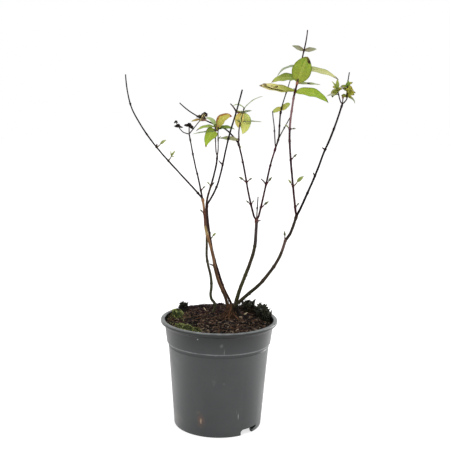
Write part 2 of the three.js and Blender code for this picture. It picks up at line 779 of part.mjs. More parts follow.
function limbDirection(limb, distance) {
  const lean = radians(valueAt(limb.bends, distance));
  const swing = radians(limb.swing);
  return new THREE.Vector3(
    Math.sin(lean) * Math.cos(swing),
    Math.sin(swing),
    Math.cos(lean) * Math.cos(swing),
  );
}

function pointAlong(limb, start, distance) {
  const point = start.clone();
  const step = 1;
  for (let walked = 0; walked < distance; walked += step) {
    const stride = Math.min(step, distance - walked);
    point.addScaledVector(limbDirection(limb, walked + stride / 2), stride);
  }
  return point;
}

// Distances along a limb where its skin has a ring: even steps, bends and both sides of each node

function limbStations(limb) {
  const wanted = [0, limb.length];
  for (let at = LIMB_STEP; at < limb.length - LIMB_STEP / 2; at += LIMB_STEP) wanted.push(at);
  for (const [at] of limb.bends) wanted.push(at);
  const joints = limb.nodes ?? [];
  for (const at of joints) wanted.push(at - NODE_HALF_LENGTH, at, at + NODE_HALF_LENGTH);
  const needed = new Set([0, limb.length, ...joints]);
  const inside = wanted.filter((at) => at >= 0 && at <= limb.length).sort((a, b) => a - b);
  const kept = [];
  for (const at of inside) {
    const last = kept[kept.length - 1];
    const joint = joints.some((place) => Math.abs(place - at) <= NODE_HALF_LENGTH);
    if (last === undefined || at - last > (joint ? NODE_HALF_LENGTH - 0.5 : RING_SPACING)) kept.push(at);
    else if (at === limb.length || (needed.has(at) && !needed.has(last))) kept[kept.length - 1] = at;
  }
  return kept;
}

function limbRadius(limb, distance) {
  const plain = lerp(limb.radii[0], limb.radii[1], distance / limb.length);
  const joints = limb.nodes ?? [];
  const near = joints.some((at) => Math.abs(at - distance) < NODE_HALF_LENGTH / 2);
  return plain + (near ? NODE_SWELLING * Math.min(1, plain / 1.2) : 0);
}

function limbSides(limb) {
  if (limb.radii[0] > 1.6) return 6;
  return limb.radii[0] > 1.05 ? 5 : 4;
}

function ringAround(centre, across, along, radius, sides) {
  const other = new THREE.Vector3().crossVectors(along, across);
  const ring = [];
  for (let i = 0; i < sides; i += 1) {
    const angle = (i * 2 * Math.PI) / sides;
    const point = centre.clone();
    point.addScaledVector(across, radius * Math.cos(angle));
    point.addScaledVector(other, radius * Math.sin(angle));
    ring.push(point);
  }
  return ring;
}

// A tapering limb with flat ends. A limb that forks ends in a knob that its boughs grow out of.

function limbSolid(limb, start, grow, forks) {
  const stations = limbStations(limb);
  const sides = limbSides(limb);
  const across = new THREE.Vector3();
  const rings = [];
  const centres = [];
  for (const at of stations) {
    const along = limbDirection(limb, at);
    if (at === 0) across.crossVectors(along, FRONT).normalize();
    across.addScaledVector(along, -across.dot(along)).normalize();
    const centre = pointAlong(limb, start, at);
    const last = at === limb.length;
    const knob = last && forks ? FORK_SWELLING : 0;
    if (at === 0) centre.addScaledVector(along, -grow);
    if (last && !forks) centre.addScaledVector(along, grow);
    rings.push(ringAround(centre, across, along, limbRadius(limb, at) + knob + grow, sides));
    centres.push(centre);
    if (last && forks) {
      const end = centre.clone().addScaledVector(along, limb.radii[1] * 1.3 + grow);
      rings.push(ringAround(end, across, along, limb.radii[1] * 0.8 + grow, sides));
      centres.push(end);
    }
  }
  return skinOfRings(rings, centres[0], centres[centres.length - 1]);
}

// A leaf is a thin pointed blade, folded along its midrib, that bends over along its length

function leafSolid(root, leaf) {
  const small = leaf.length < SMALL_LEAF;
  const shares = small ? [0, 0.42] : [0, 0.17, 0.4, 0.65, 0.86];
  const heading = radians(leaf.heading);
  const thickness = Math.max(0.5, leaf.length * LEAF_THICKNESS) / 2;
  const rings = [];
  const point = root.clone();
  let walked = 0;
  const bladeDirection = (share) => {
    const rise = radians(leaf.rise - leaf.droop * share ** 1.2);
    return new THREE.Vector3(
      Math.cos(heading) * Math.cos(rise),
      Math.sin(heading) * Math.cos(rise),
      Math.sin(rise),
    );
  };
  const side = new THREE.Vector3(-Math.sin(heading), Math.cos(heading), 0);
  for (const share of [...shares, 1]) {
    const stride = (share - walked) * leaf.length;
    point.addScaledVector(bladeDirection((share + walked) / 2), stride);
    walked = share;
    if (share === 1) break;
    const along = bladeDirection(share);
    const upright = new THREE.Vector3().crossVectors(along, side).normalize();
    if (upright.z < 0) upright.negate();
    const front = FRONT.clone().addScaledVector(along, -FRONT.dot(along));
    const face = upright.clone().multiplyScalar(Math.cos(radians(leaf.tilt)));
    if (front.length() > 0.05) face.addScaledVector(front.normalize(), Math.sin(radians(leaf.tilt)));
    face.addScaledVector(along, -face.dot(along)).normalize();
    const across = new THREE.Vector3().crossVectors(face, along).normalize();
    const half = share === 0 ? 0.7 : (leaf.width / 2) * Math.sin(Math.PI * share ** 0.78) ** 0.85;
    const raised = point.clone().addScaledVector(face, LEAF_FOLD * half);
    const edge = (sign) => raised.clone().addScaledVector(across, sign * half);
    const thick = share === 0 ? 0.5 : thickness;
    const ring = [edge(-1), point.clone().addScaledVector(face, -thick), edge(1)];
    if (!small) ring.push(point.clone().addScaledVector(face, thick));
    rings.push(ring);
  }
  return skinOfRings(rings, root, point);
}

// The leaves or the twig of a shoot

function shootSolids(limb, start, shoot) {
  const root = pointAlong(limb, start, shoot.at);
  const kind = SHOOT_KINDS[shoot.kind];
  const width = Math.max(kind.least, shoot.length * kind.slimness);
  return kind.spreads.map((spread) => leafSolid(root, {
    heading: shoot.heading - spread,
    rise: shoot.rise + spread,
    droop: 16,
    tilt: 40,
    length: shoot.length,
    width,
  }));
}

// A dry seed head: a pointed capsule in stiff sepals

function headSolid(root, along, size, random) {
  const capsule = new THREE.IcosahedronGeometry(size * 0.5, 0);
  capsule.scale(1, 1, 1.35);
  const centre = root.clone().addScaledVector(along, size * 0.4);
  capsule.translate(centre.x, centre.y, centre.z);
  let head = solidFromGeometry(capsule);
  for (let i = 0; i < SEPALS; i += 1) {
    const sepal = {
      heading: (i * 360) / SEPALS + 30 * random(),
      rise: 5 + 30 * random(),
      droop: 20,
      tilt: 0,
      length: size * 1.25,
      width: size * 0.6,
    };
    head = head.add(leafSolid(root, sepal));
  }
  return head;
}

// Building

function buildLimbs(soil) {
  const ground = soil.translate([0, 0, CLEARANCE]);
  const crown = crownSolid(0);
  const built = { root_crown: { solid: crown, grown: crownSolid(CLEARANCE) } };
  const parents = new Set(Object.values(LIMBS).map((limb) => limb.from));
  for (const [name, limb] of Object.entries(LIMBS)) {
    const parent = built[limb.from];
    let start = parent?.tip;
    if (limb.start) start = new THREE.Vector3(...limb.start);
    if (limb.fromDistance) start = pointAlong(parent.limb, parent.start, limb.fromDistance);
    const forks = parents.has(name);
    let solid = limbSolid(limb, start, 0, forks);
    for (const shoot of limb.shoots) {
      for (const leaf of shootSolids(limb, start, shoot)) solid = solid.add(leaf);
    }
    for (const other of Object.values(built)) {
      if (other === parent || other.from === limb.from) solid = solid.subtract(other.grown);
    }
    if (!limb.from) solid = solid.subtract(ground);
    built[name] = {
      limb,
      start,
      from: limb.from ?? name,
      tip: pointAlong(limb, start, limb.length),
      solid: largestPiece(solid),
      grown: limbSolid(limb, start, CLEARANCE, forks),
    };
  }
  return built;
}

function buildMass(mass, limbs, others, seed) {
  const random = seededNumbers(seed);
  const bough = limbs[mass.from];
  const start = bough.tip;
  const middle = pointAlong(mass.twigs[0], start, mass.middle);
  const all = Object.values(limbs);
  const neighbours = all.filter((limb) => limb === bough || limb.from === mass.from);
  const strangers = all.filter((limb) => !neighbours.includes(limb));
  const obstacles = [...strangers.map((limb) => limb.grown), ...others];
  let solid = null;
  for (const twig of mass.twigs) {
    const limb = limbSolid(twig, start, 0, false);
    solid = solid ? solid.add(limb) : limb;
  }
  const addIfClear = (piece, place) => {
    const inside = place.distanceTo(middle) < mass.reach;
    const clear = !obstacles.some((obstacle) => solidsMeet(piece, obstacle));
    if (inside && clear) solid = solid.add(piece);
  };
  for (const leaf of mass.leaves) {
    const root = pointAlong(mass.twigs[leaf.twig], start, leaf.at);
    const turned = { ...leaf, heading: leaf.heading + 4 * (random() - 0.5) };
    const piece = leafSolid(root, turned);
    const box = piece.boundingBox();
    const centre = new THREE.Vector3(...box.min).lerp(new THREE.Vector3(...box.max), 0.5);
    addIfClear(piece, centre);
  }
  for (const head of mass.heads) {
    const twig = mass.twigs[head.twig];
    const root = pointAlong(twig, start, head.at - 0.4);
    addIfClear(headSolid(root, limbDirection(twig, head.at), head.size, random), root);
  }
  for (const other of neighbours) solid = solid.subtract(other.grown);
  return largestPiece(solid);
}

function namedMesh(name, solid, colour, roughness) {
  const material = new THREE.MeshStandardMaterial({ color: COLOURS[colour], roughness, metalness: 0 });
  const mesh = new THREE.Mesh(geometryFromSolid(solid), material);
  mesh.name = name;
  return mesh;
}

function buildPlant() {
  const plant = new THREE.Group();
  const soil = soilSolid();
  plant.add(namedMesh('pot', potSolid(), 'pot', 0.45));
  plant.add(namedMesh('potting_soil', soil, 'soil', 0.95));
  const limbs = buildLimbs(soil);
  const rim = rimSolid();
  let seed = 11;
  for (const [name, patch] of Object.entries(PATCHES)) {
    const colour = patch.spikes ? 'darkMoss' : 'moss';
    plant.add(namedMesh(name, patchSolid(patch, soil, rim, seed), colour, 0.9));
    seed += 1;
  }
  plant.add(namedMesh('root_crown', limbs.root_crown.solid, 'crown', 0.85));
  for (const [name, limb] of Object.entries(LIMBS)) {
    plant.add(namedMesh(name, limbs[name].solid, limb.colour, 0.7));
  }
  const masses = [];
  for (const [name, mass] of Object.entries(MASSES)) {
    const solid = buildMass(mass, limbs, masses, seed);
    masses.push(solid);
    plant.add(namedMesh(name, solid, mass.colour, 0.55));
    seed += 1;
  }
  return plant;
}

export default buildPlant();
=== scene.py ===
from collections import namedtuple
from itertools import combinations
from math import cos, exp, hypot, pi, radians, sin, sqrt
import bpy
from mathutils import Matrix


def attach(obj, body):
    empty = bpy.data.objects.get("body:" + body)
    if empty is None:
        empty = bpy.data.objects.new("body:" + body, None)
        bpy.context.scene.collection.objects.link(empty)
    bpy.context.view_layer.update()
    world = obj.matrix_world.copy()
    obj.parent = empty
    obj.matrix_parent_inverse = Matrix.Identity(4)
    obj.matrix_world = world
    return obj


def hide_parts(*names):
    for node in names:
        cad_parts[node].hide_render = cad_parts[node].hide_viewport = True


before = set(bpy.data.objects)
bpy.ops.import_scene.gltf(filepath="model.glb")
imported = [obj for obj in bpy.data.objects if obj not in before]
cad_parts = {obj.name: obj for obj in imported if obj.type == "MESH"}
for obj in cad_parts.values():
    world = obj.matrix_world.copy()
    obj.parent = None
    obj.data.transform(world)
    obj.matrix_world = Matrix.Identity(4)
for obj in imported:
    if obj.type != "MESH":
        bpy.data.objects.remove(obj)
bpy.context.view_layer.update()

from types import SimpleNamespace

import bmesh
import bpy
from mathutils import Matrix, Vector, noise

# A potted tutsan in early spring. Sizes are in millimetres and become metres in each mesh.

MM = 0.001
FRONT = Vector((0, -1, 0))
WORD = 0xFFFFFFFF

# Pot, soil and crown, as in the solid model

POT = SimpleNamespace(
    height=158,
    lip_radius=85.4,
    lip_thickness=4.6,
    lip_slope=3.8,
    mouth_radius=79.8,
    band_top_radius=79.4,
    band_foot_radius=76.2,
    band_foot_height=125,
    step_depth=2.2,
    base_radius=64.4,
    wall=1.3,
    floor_thickness=1.6,
    pad_radius=46,
    gutter_inner=49,
    gutter_outer=58,
    gutter_height=6,
    foot_ring_inner=60,
    sides=180,
)
NOTCH = SimpleNamespace(count=2, width=32, height=8.5, tooth_width=9, first_bearing=-44.5)
SOIL = SimpleNamespace(edge_height=151, crown_height=157, back_rise=9.5, lump=0.9, foot_seat=10,
                       crown_seat=21, sectors=220, rings=74)
CROWN = SimpleNamespace(x=19, y=13, width=28, depth=22, height=20)
NODE_SWELLING, JOINT_REACH = 0.5, 1.7
FORK_SWELLING, FORK_REACH = 0.6, 3.5
SCAR_DEPTH, SCAR_OFFSET, SCAR_REACH = 0.14, 1.1, 0.5
FISSURES, KNOBS = 0.13, 0.06
RING_SPACING = 1.3
LEAF_FOLD = 0.22
MIDRIB_DEPTH, VEIN_DEPTH = 0.32, 0.14
BLADE_HALF_THICKNESS = 0.16
VEINS = 7.5
VEIN_SLANT = 1.9
VEINED_LENGTH = 15
UNDERSIDE = (0.72, 0.76, 0.6)
SEPALS = 5
PATCH_INSET = 2.3
CRUMBS = 8200
CROWN_ROOTS = 22
FIBRES = 320
TUFT_FACES = ((0, 1, 3, 2), (0, 2, 4), (1, 4, 3), (0, 4, 1), (2, 3, 5), (2, 5, 4), (3, 4, 5))

# Limbs. origin is a point, or a parent with the distance along it, by default its tip. bends gives a
# limb's lean to the right in degrees at a distance along it, and swing how far it leans away from the
# front. nodes are its leaf joints. A shoot is the distance of its joint, its heading, rise, length and
# kind. bark gives two colours from a distance on.

Limb = namedtuple("Limb", "origin length swing radii bends nodes shoots bark", defaults=((), ()))

LIMBS = {
    "stem_a": Limb((-11.4, 34, 155.6), 243.5, 1.4, (2.2, 1.3),
        ((0, 40), (12, 8), (21, -46), (29, -10), (38, 10), (50, -4), (74, -17), (100, 1),
            (108, 0), (160, -3), (188, 17), (225, 12), (243.5, 2)),
        (16, 50, 84, 130, 198.5, 240),
        shoots=((198.5, 180, 45, 8, "leaf"), (198.5, 0, 50, 7, "bare")),
        bark=((0, "48442f", "676b4e"), (60, "5a5c44", "483a2c"), (120, "3e2a22", "54402f"),
            (200, "2a1f20", "46383a"))),
    "stem_b": Limb((12.4, 12, 164), 175, -1.5, (2.3, 1.7),
        ((0, -2), (12, -8), (28, -25), (44, -23), (64, -14), (80, -9), (94, -14), (122, -18),
            (139, -3), (175, -10)),
        (34, 74, 122, 153, 172),
        shoots=((74, 180, 22, 8, "bare"), (153, 180, 45, 9, "dark_leaf")),
        bark=((0, "3c2a1e", "74583e"), (34, "4c3426", "96714c"), (74, "64422e", "b48e6a"),
            (100, "7a5034", "cca274"), (120, "9a7a4c", "dcc48c"), (134, "5c3628", "8e5e4c"),
            (158, "8a5c3a", "d4a678"))),
    "stem_c": Limb((20.6, 17, 170), 160, 2, (1.9, 1.35),
        ((0, -26), (22, -28), (44, -18), (68, -18), (98, -11), (128, -8), (160, -2)),
        (38, 76, 118, 157),
        shoots=((109, 0, 52, 12, "leaf"),),
        bark=((0, "38241a", "5b3a26"), (40, "2a1818", "4b2c26"), (110, "301a1c", "50302c"))),
    "bough_b_left": Limb(("stem_b",), 217, -18.4, (1.35, 0.8),
        ((0, -38), (25, -42), (80, -41), (110, -37), (160, -27), (180, -12), (217, -1)),
        (11, 78, 104, 127.5, 176),
        shoots=((78, 0, 57, 17, "sprig"), (104, 0, 42, 16, "leaf"), (104, 80, 72, 5, "bare")),
        bark=((0, "1e1414", "34282a"), (60, "140e0e", "2c2220"), (160, "120e0e", "2a2626"))),
    "bough_b_right": Limb(("stem_b",), 105.5, 27.5, (1.3, 1.0),
        ((0, -15), (20, -13), (40, -16.5), (75, -12.5), (105.5, -12.5)),
        (13, 40, 72, 96),
        shoots=((13, 0, 50, 9.5, "dark_leaf"),),
        bark=((0, "281c1c", "463634"), (60, "2a2422", "484040"))),
    "bough_c": Limb(("stem_c",), 187, -22.6, (1.45, 1.0),
        ((0, 32), (25, 24), (45, 14), (80, 10), (115, 13), (135, 16), (150, 15), (187, 13)),
        (33, 71, 112, 154),
        shoots=((71, 180, 46, 8, "bare"), (154, 180, 50, 14, "bare"), (154, 0, -3, 13, "dark_leaf")),
        bark=((0, "1e1012", "3a2224"), (80, "180f11", "302222"), (150, "181214", "2c2224"))),
    "stem_d": Limb((22.5, 13, 171), 137, -1, (2.9, 2.2),
        ((0, 14), (14, 14), (38, 20), (62, 20), (88, 14), (107, 2), (137, 1)),
        (52, 98, 134),
        shoots=((135, 0, 12, 6, "bare"),),
        bark=((0, "34321f", "66613e"), (60, "322b20", "5c5240"), (100, "30272a", "74645f"),
            (132, "5a2e2c", "a06a62"))),
    "bough_d_left": Limb(("stem_d",), 123, 24, (1.5, 1.25),
        ((0, -57), (8, -16), (28, -14), (60, -10), (100, -13), (123, -17)),
        (25, 60.5, 92, 120),
        shoots=((25, 180, 42, 9.5, "dark_leaf"), (25, 0, 60, 8, "dark_leaf"),
            (60.5, 180, 36, 13.5, "dark_leaf"), (60.5, 0, 40, 10.5, "dark_leaf"), (114, 0, 66, 5, "leaf")),
        bark=((0, "240f14", "4c2830"), (30, "260f15", "4e2a32"), (80, "26131a", "4c2e38"))),
    "bough_d_arch": Limb(("bough_d_left",), 112, 14, (1.25, 0.85),
        ((0, -36), (20, -46), (35, -62), (45, -76), (55, -68), (85, -60), (112, -46)),
        (34, 76),
        bark=((0, "1a1010", "342426"), (60, "1e1616", "3a3032"))),
    "bough_d_right": Limb(("stem_d",), 109, 13, (1.5, 1.3),
        ((0, 44), (7, 14), (30, 12), (75, 12), (95, 17), (109, 17)),
        (19, 53.5, 82, 106),
        shoots=((19, 0, 43, 14.5, "dark_leaf"), (53.5, 180, 45, 11.5, "bare"),
            (53.5, 0, 57, 14, "dark_leaf")),
        bark=((0, "381a20", "603840"), (40, "2c131a", "542e38"), (94, "441e26", "7a4250"))),
    "bough_d_right_top": Limb(("bough_d_right",), 55, 7, (1.3, 1.1),
        ((0, 19), (12, 16), (22, 1), (45, 3), (55, 9)),
        (13, 34, 53),
        bark=((0, "2a1418", "4a2a2e"), (20, "1e1214", "3a2628"))),
    "twig_d_right": Limb(("bough_d_right_top", 13), 37, -12, (0.85, 0.65),
        ((0, 20), (14, 27), (37, 26)),
        (20,),
        bark=((0, "2c2a20", "4a4636"),)),
    "snag_d_right": Limb(("bough_d_right",), 56, -13, (0.95, 0.7),
        ((0, -6), (25, -5), (40, -10), (56, -6)),
        (26,),
        bark=((0, "44282f", "60424a"), (26, "302e30", "505050"))),
    "snag_d": Limb(("stem_d",), 36, -16, (1.0, 0.75),
        ((0, 1), (36, 2)),
        (18,),
        bark=((0, "54423e", "7a645e"), (12, "262824", "3e403a"))),
    "stem_e": Limb((22, 8.5, 173.6), 168, -5, (2.7, 1.9),
        ((0, 42), (12, 46), (42, 48), (57, 38), (82, 33.2), (102, 23.2), (117, 15), (126, 13),
            (129, 34), (137, 34), (141, 20), (150, 18), (168, 13.2)),
        (30, 58, 85, 128, 164),
        shoots=((128, 180, 84, 14, "dark_leaf"),),
        bark=((0, "2b271a", "4d4831"), (50, "332c20", "584a38"), (112, "5a4440", "8a706a"),
            (130, "2a2018", "453a2e"))),
    "bough_e_left": Limb(("stem_e",), 170, -1.4, (1.6, 1.4),
        ((0, -17), (8, -8), (60, -7), (100, -5), (120, 0), (145, 6), (170, 8)),
        (12.5, 43, 81, 108, 124.5, 149.5, 167),
        shoots=((12.5, 0, 52, 9, "dark_leaf"), (43, 180, 57, 11.5, "leaf"), (43, 0, 49, 20, "leaf"),
            (81, 0, 47, 12, "dark_leaf"), (124.5, 180, 44, 8.5, "leaf"), (124.5, 0, 8, 8.5, "dark_leaf")),
        bark=((0, "3a1a1e", "5a3236"), (48, "301820", "4e2c34"), (85, "381e24", "5c3a42"),
            (126, "8a5c60", "b08a8c"))),
    "bough_e_right": Limb(("stem_e",), 176, -18, (1.7, 1.2),
        ((0, 27), (15, 20), (50, 19.6), (95, 15), (112, 21.5), (128, 17), (176, 12.5)),
        (38.5, 67, 108, 140, 173),
        shoots=((67, 180, 60, 5, "bare"), (108, 180, 35, 5, "bare")),
        bark=((0, "120b0b", "261a1a"), (60, "120c0e", "241818"), (120, "180e10", "2c1c1c"))),
}

# Masses of foliage. A twig's row is its length, swing, radii and bends. A leaf's row is its twig, the
# distance along it, the sizes of its Blade and its look. A blade's heading is 0 to the right, 90 away
# from the front, 180 to the left and 270 to the front. It rises at its foot, droops along its length
# and tilts its face to the front. A head's row is its twig, the distance along it and its size.

Mass = namedtuple("Mass", "origin bark twigs leaves small heads", defaults=((),))
Blade = namedtuple("Blade", "heading rise droop tilt length width")

MASSES = {
    "leaves_a": Mass("stem_a", bark=((0, "4a3e40", "6c5e60"),), twigs=(
        (43.5, -4, (1.0, 0.8), ((0, -25), (8, -4), (43.5, -1))),
        (42.5, 7, (1.0, 0.75), ((0, 12), (10, 1), (31, -4), (42.5, 14))),
    ), leaves=(
        (0, 38, 188, -40, 50, 66, 30.5, 19, "hanging"), (0, 42.5, 180, 10, 48, 24, 30, 10, "fresh_edge"),
        (0, 37.5, 168, -8, 2, 12, 34, 8, "grey"), (0, 42.5, 176, 80, 85, 45, 22, 8, "grey_up"),
        (0, 42.5, 280, 45, 30, 10, 11, 5, "dark_young"), (1, 40.5, 350, 86, 98, 52, 31, 17, "rusty"),
        (1, 41.5, 0, 10, 30, 32, 24, 9, "deep_young"), (1, 40.5, 82, 30, 60, 0, 24, 12, "lime"),
        (1, 24.5, 30, 50, 10, 10, 7, 3, "young"),
    ), small=(
        (0, 41, 60, 62, 20, 40, 8, 4, "dry_yellow"), (1, 38, 200, 55, 30, 50, 10, 4.5, "olive_yellow"),
        (1, 40, 130, 74, 20, 50, 9, 4, "dark_young"), (0, 42, 340, 40, 50, 50, 9, 4.5, "dry_yellow"),
        (1, 37, 168, 20, 30, 60, 8, 4, "dry_pink"), (0, 36, 172, 22, 20, 50, 12, 5, "grey_up"),
        (1, 39, 20, 30, 40, 40, 10, 4, "deep_young"),
    )),
    "seed_heads_b": Mass("bough_b_right", bark=((0, "4a4340", "6c6562"),), twigs=(
        (13, 6, (0.95, 0.75), ((0, -2), (13, 0))),
        (28, -4, (0.85, 0.6), ((0, -80), (8, -70), (11, -45), (18, -38), (28, -20))),
        (37, 2, (0.85, 0.6), ((0, 37), (15, 39), (30, 34), (37, 36))),
    ), leaves=(
        (2, 28, 182, -12, 5, 35, 15, 6, "dry_yellow"), (2, 33, 0, 10, 40, 25, 8, 4, "dry_pink"),
    ), small=(
        (2, 29, 300, 30, 40, 60, 9, 5.5, "dry_grey"), (2, 30, 230, 52, 60, 40, 9, 5, "dry_grey"),
        (2, 22, 338, 45, -6, 80, 17, 2.8, "straw"), (2, 24, 316, 48, -6, 60, 15, 2.6, "straw"),
        (2, 26, 350, 12, 30, 60, 11, 5, "dry_pink"), (2, 30, 160, 50, 60, 50, 8, 5, "dry_dark"),
        (2, 35, 340, 20, 60, 60, 7, 5, "dry_dark"), (0, 11, 350, -22, 10, 50, 9, 4.5, "dry_dark"),
        (0, 12, 190, 12, 20, 50, 8, 5.5, "dry_dark"), (1, 20, 0, -4, 10, 50, 7, 3.5, "dry_dark"),
        (1, 20, 180, 4, -10, 50, 7, 4, "dry_dark"),
    ), heads=((0, 12, 6.2), (1, 20.5, 5.4), (1, 28, 3.4), (2, 31, 7), (2, 37, 5))),
    "leaves_d_left": Mass("bough_d_left",
        bark=((0, "3a1e20", "6a4440"), (30, "2a1a18", "4c342c"), (50, "4f5440", "70745a")), twigs=(
        (53, 3, (1.15, 0.7), ((0, 8), (12, -3), (28, 13), (46, 12), (53, 22))),
    ), leaves=(
        (0, 5, 202, 6, 4, 30, 31, 12, "grey_red"), (0, 32, 8, 3, 4, 8, 32, 9, "grey"),
        (0, 46, 24, -62, 62, 78, 33.5, 17.5, "yellow_green"), (0, 46, 160, -58, 34, 66, 24, 15, "yellow"),
        (0, 46, 5, 16, 6, 25, 14, 7, "grey"), (0, 46, 95, 15, 50, 0, 32, 15, "lime"),
        (0, 52, 355, 52, 38, 4, 34, 8, "grey"), (0, 52.5, 180, 50, 90, 6, 20, 7, "grey_up"),
    ), small=(
        (0, 45, 350, 30, 20, 40, 11, 5, "grey"), (0, 46, 178, 6, 10, 40, 12, 4, "olive"),
        (0, 31, 180, 40, 30, 40, 8, 4, "young"),
    )),
    "leaves_d_right": Mass("bough_d_right_top", bark=((0, "221416", "3a2426"),), twigs=(
        (52, 7, (0.95, 0.65), ((0, 10), (14, 17), (52, 17))),
    ), leaves=(
        (0, 4, 164, -14, 20, 50, 14, 9, "pair"), (0, 2, 16, 40, 6, 50, 17, 9.5, "pair"),
        (0, 28, 90, 40, 40, 0, 13, 6, "lime"), (0, 49, 100, 35, 40, 0, 17, 8, "fresh"),
        (0, 49, 280, 50, 30, 0, 12, 6, "young"),
    ), small=(
        (0, 48, 185, 60, 20, 40, 9, 4, "young"), (0, 28, 0, 55, 20, 40, 7, 3, "young"),
    )),
    "leaves_e_left": Mass("bough_e_left",
        bark=((0, "3a1a1e", "5a2c30"), (15, "b0705a", "d8987c"), (21, "42262a", "6a4644"),
            (60, "33191c", "4b2a2b")), twigs=(
        (93, 4, (1.45, 0.8), ((0, 13), (18, 12), (48, 9), (66, 13), (93, 4))),
    ), leaves=(
        (0, 6, 345, 6, 50, 42, 51, 18, "deep"), (0, 8, 190, 3, -8, 38, 52, 17, "split_brown"),
        (0, 18, 10, 0, 2, 22, 34, 10, "grey_spot"), (0, 25, 172, 11, 44, 40, 39, 17, "fresh"),
        (0, 20, 320, 67, 4, 80, 38, 27, "round"), (0, 22, 100, 22, 45, 0, 38, 17, "lime"),
        (0, 41, 176, 12, 74, 14, 37, 12, "grey"), (0, 38, 348, 2, 36, 34, 57, 14, "pale_rust"),
        (0, 42, 80, 30, 50, 0, 27, 13, "lime"), (0, 64.5, 180, 22, 2, 55, 18, 8, "grey_top"),
        (0, 64.5, 0, 8, 0, 55, 18, 8, "grey_top"),
    ), small=(
        (0, 8, 190, 6.5, -8, 36, 48, 12, "split_brown"),
    )),
    "leaves_e_right": Mass("bough_e_right", bark=((0, "2c1a1c", "48302e"),), twigs=(
        (44, -4, (0.9, 0.7), ((0, 50), (4, 42), (8, 30), (10, 2), (28, -2), (31, 4), (35, 8), (44, 6))),
        (23, 6, (0.85, 0.65), ((0, -45), (5, -22), (10, -14), (23, -14))),
        (9, 16, (0.75, 0.6), ((0, 8), (9, 5))),
    ), leaves=(
        (1, 21, 95, 80, 8, 60, 14, 5, "fresh"), (1, 21, 180, 57, 8, 40, 13, 4.5, "fresh"),
        (1, 20, 196, -28, 60, 50, 13, 9, "olive_edge"), (1, 20, 2, 34, 15, 20, 9, 4.5, "olive"),
        (1, 14, 188, 2, 24, 40, 17, 5, "pale_grey"), (1, 20, 270, 20, 40, 0, 12, 6, "olive"),
        (1, 20, 85, 15, 40, 0, 13, 6, "lime"), (0, 12, 350, -8, 70, 30, 15, 5, "grey"),
        (0, 13, 350, -20, 30, 40, 9, 6, "olive_yellow"), (0, 15, 320, 10, 30, 55, 11, 8, "olive_yellow"),
        (0, 18, 280, 30, 40, 60, 11, 8, "olive_yellow"), (0, 20, 190, 30, 25, 50, 8, 6, "olive"),
        (0, 22, 300, 20, 30, 60, 10, 7, "olive_yellow"), (0, 23, 0, -5, 30, 40, 9, 6, "olive_yellow"),
        (0, 24, 275, 72, 20, 60, 10, 6, "olive_green"), (0, 22, 82, 15, 35, 0, 13, 7, "lime"),
        (2, 7, 200, 84, 5, 60, 6, 4.5, "bud_tan"),
    ), small=(
        (0, 12, 200, 20, 30, 50, 9, 6, "olive"), (0, 17, 10, 15, 30, 45, 12, 7, "olive_yellow"),
        (0, 25, 185, 10, 20, 50, 10, 5, "olive"), (0, 27, 20, 40, 30, 40, 9, 5, "olive_yellow"),
        (0, 16, 260, 40, 30, 60, 9, 6, "olive_yellow"), (1, 19, 300, 30, 40, 60, 9, 6, "olive_yellow"),
        (1, 16, 200, 30, 60, 50, 9, 5, "olive"), (1, 21, 130, 40, 40, 50, 10, 6, "olive_yellow"),
    )),
}

# Moss and dead litter: place, half widths, turn in degrees, height, withered leaves that stand out and,
# round each of those, the number, scale and least rise of small ragged lobes

Patch = namedtuple("Patch", "x y half_x half_y turn height spikes lobes", defaults=(0, ()))

PATCHES = {
    "moss_left": Patch(-64, 25, 11, 22, 18, 8),
    "moss_front": Patch(-46, -41, 32, 10, -46, 4),
    "litter_left": Patch(-56, 49, 10, 7, -50, 9, 3, (12, 1, 20)),
    "moss_hump": Patch(44, 47, 13, 10, 0, 12, 3, (12, 1, 20)),
    "litter_tuft": Patch(65, 22, 10, 22, 18, 10, 5, (18, 1.6, 50)),
}

# Colours, as a screen shows them. end and rim give a share of the blade and the colour past it, and a
# spot is its share of the length, place across, radius and colour.

LeafLook = namedtuple("LeafLook", "foot tip vein edge end outline rim spots",
                      defaults=((), (0.85, 0.78), (), ()))

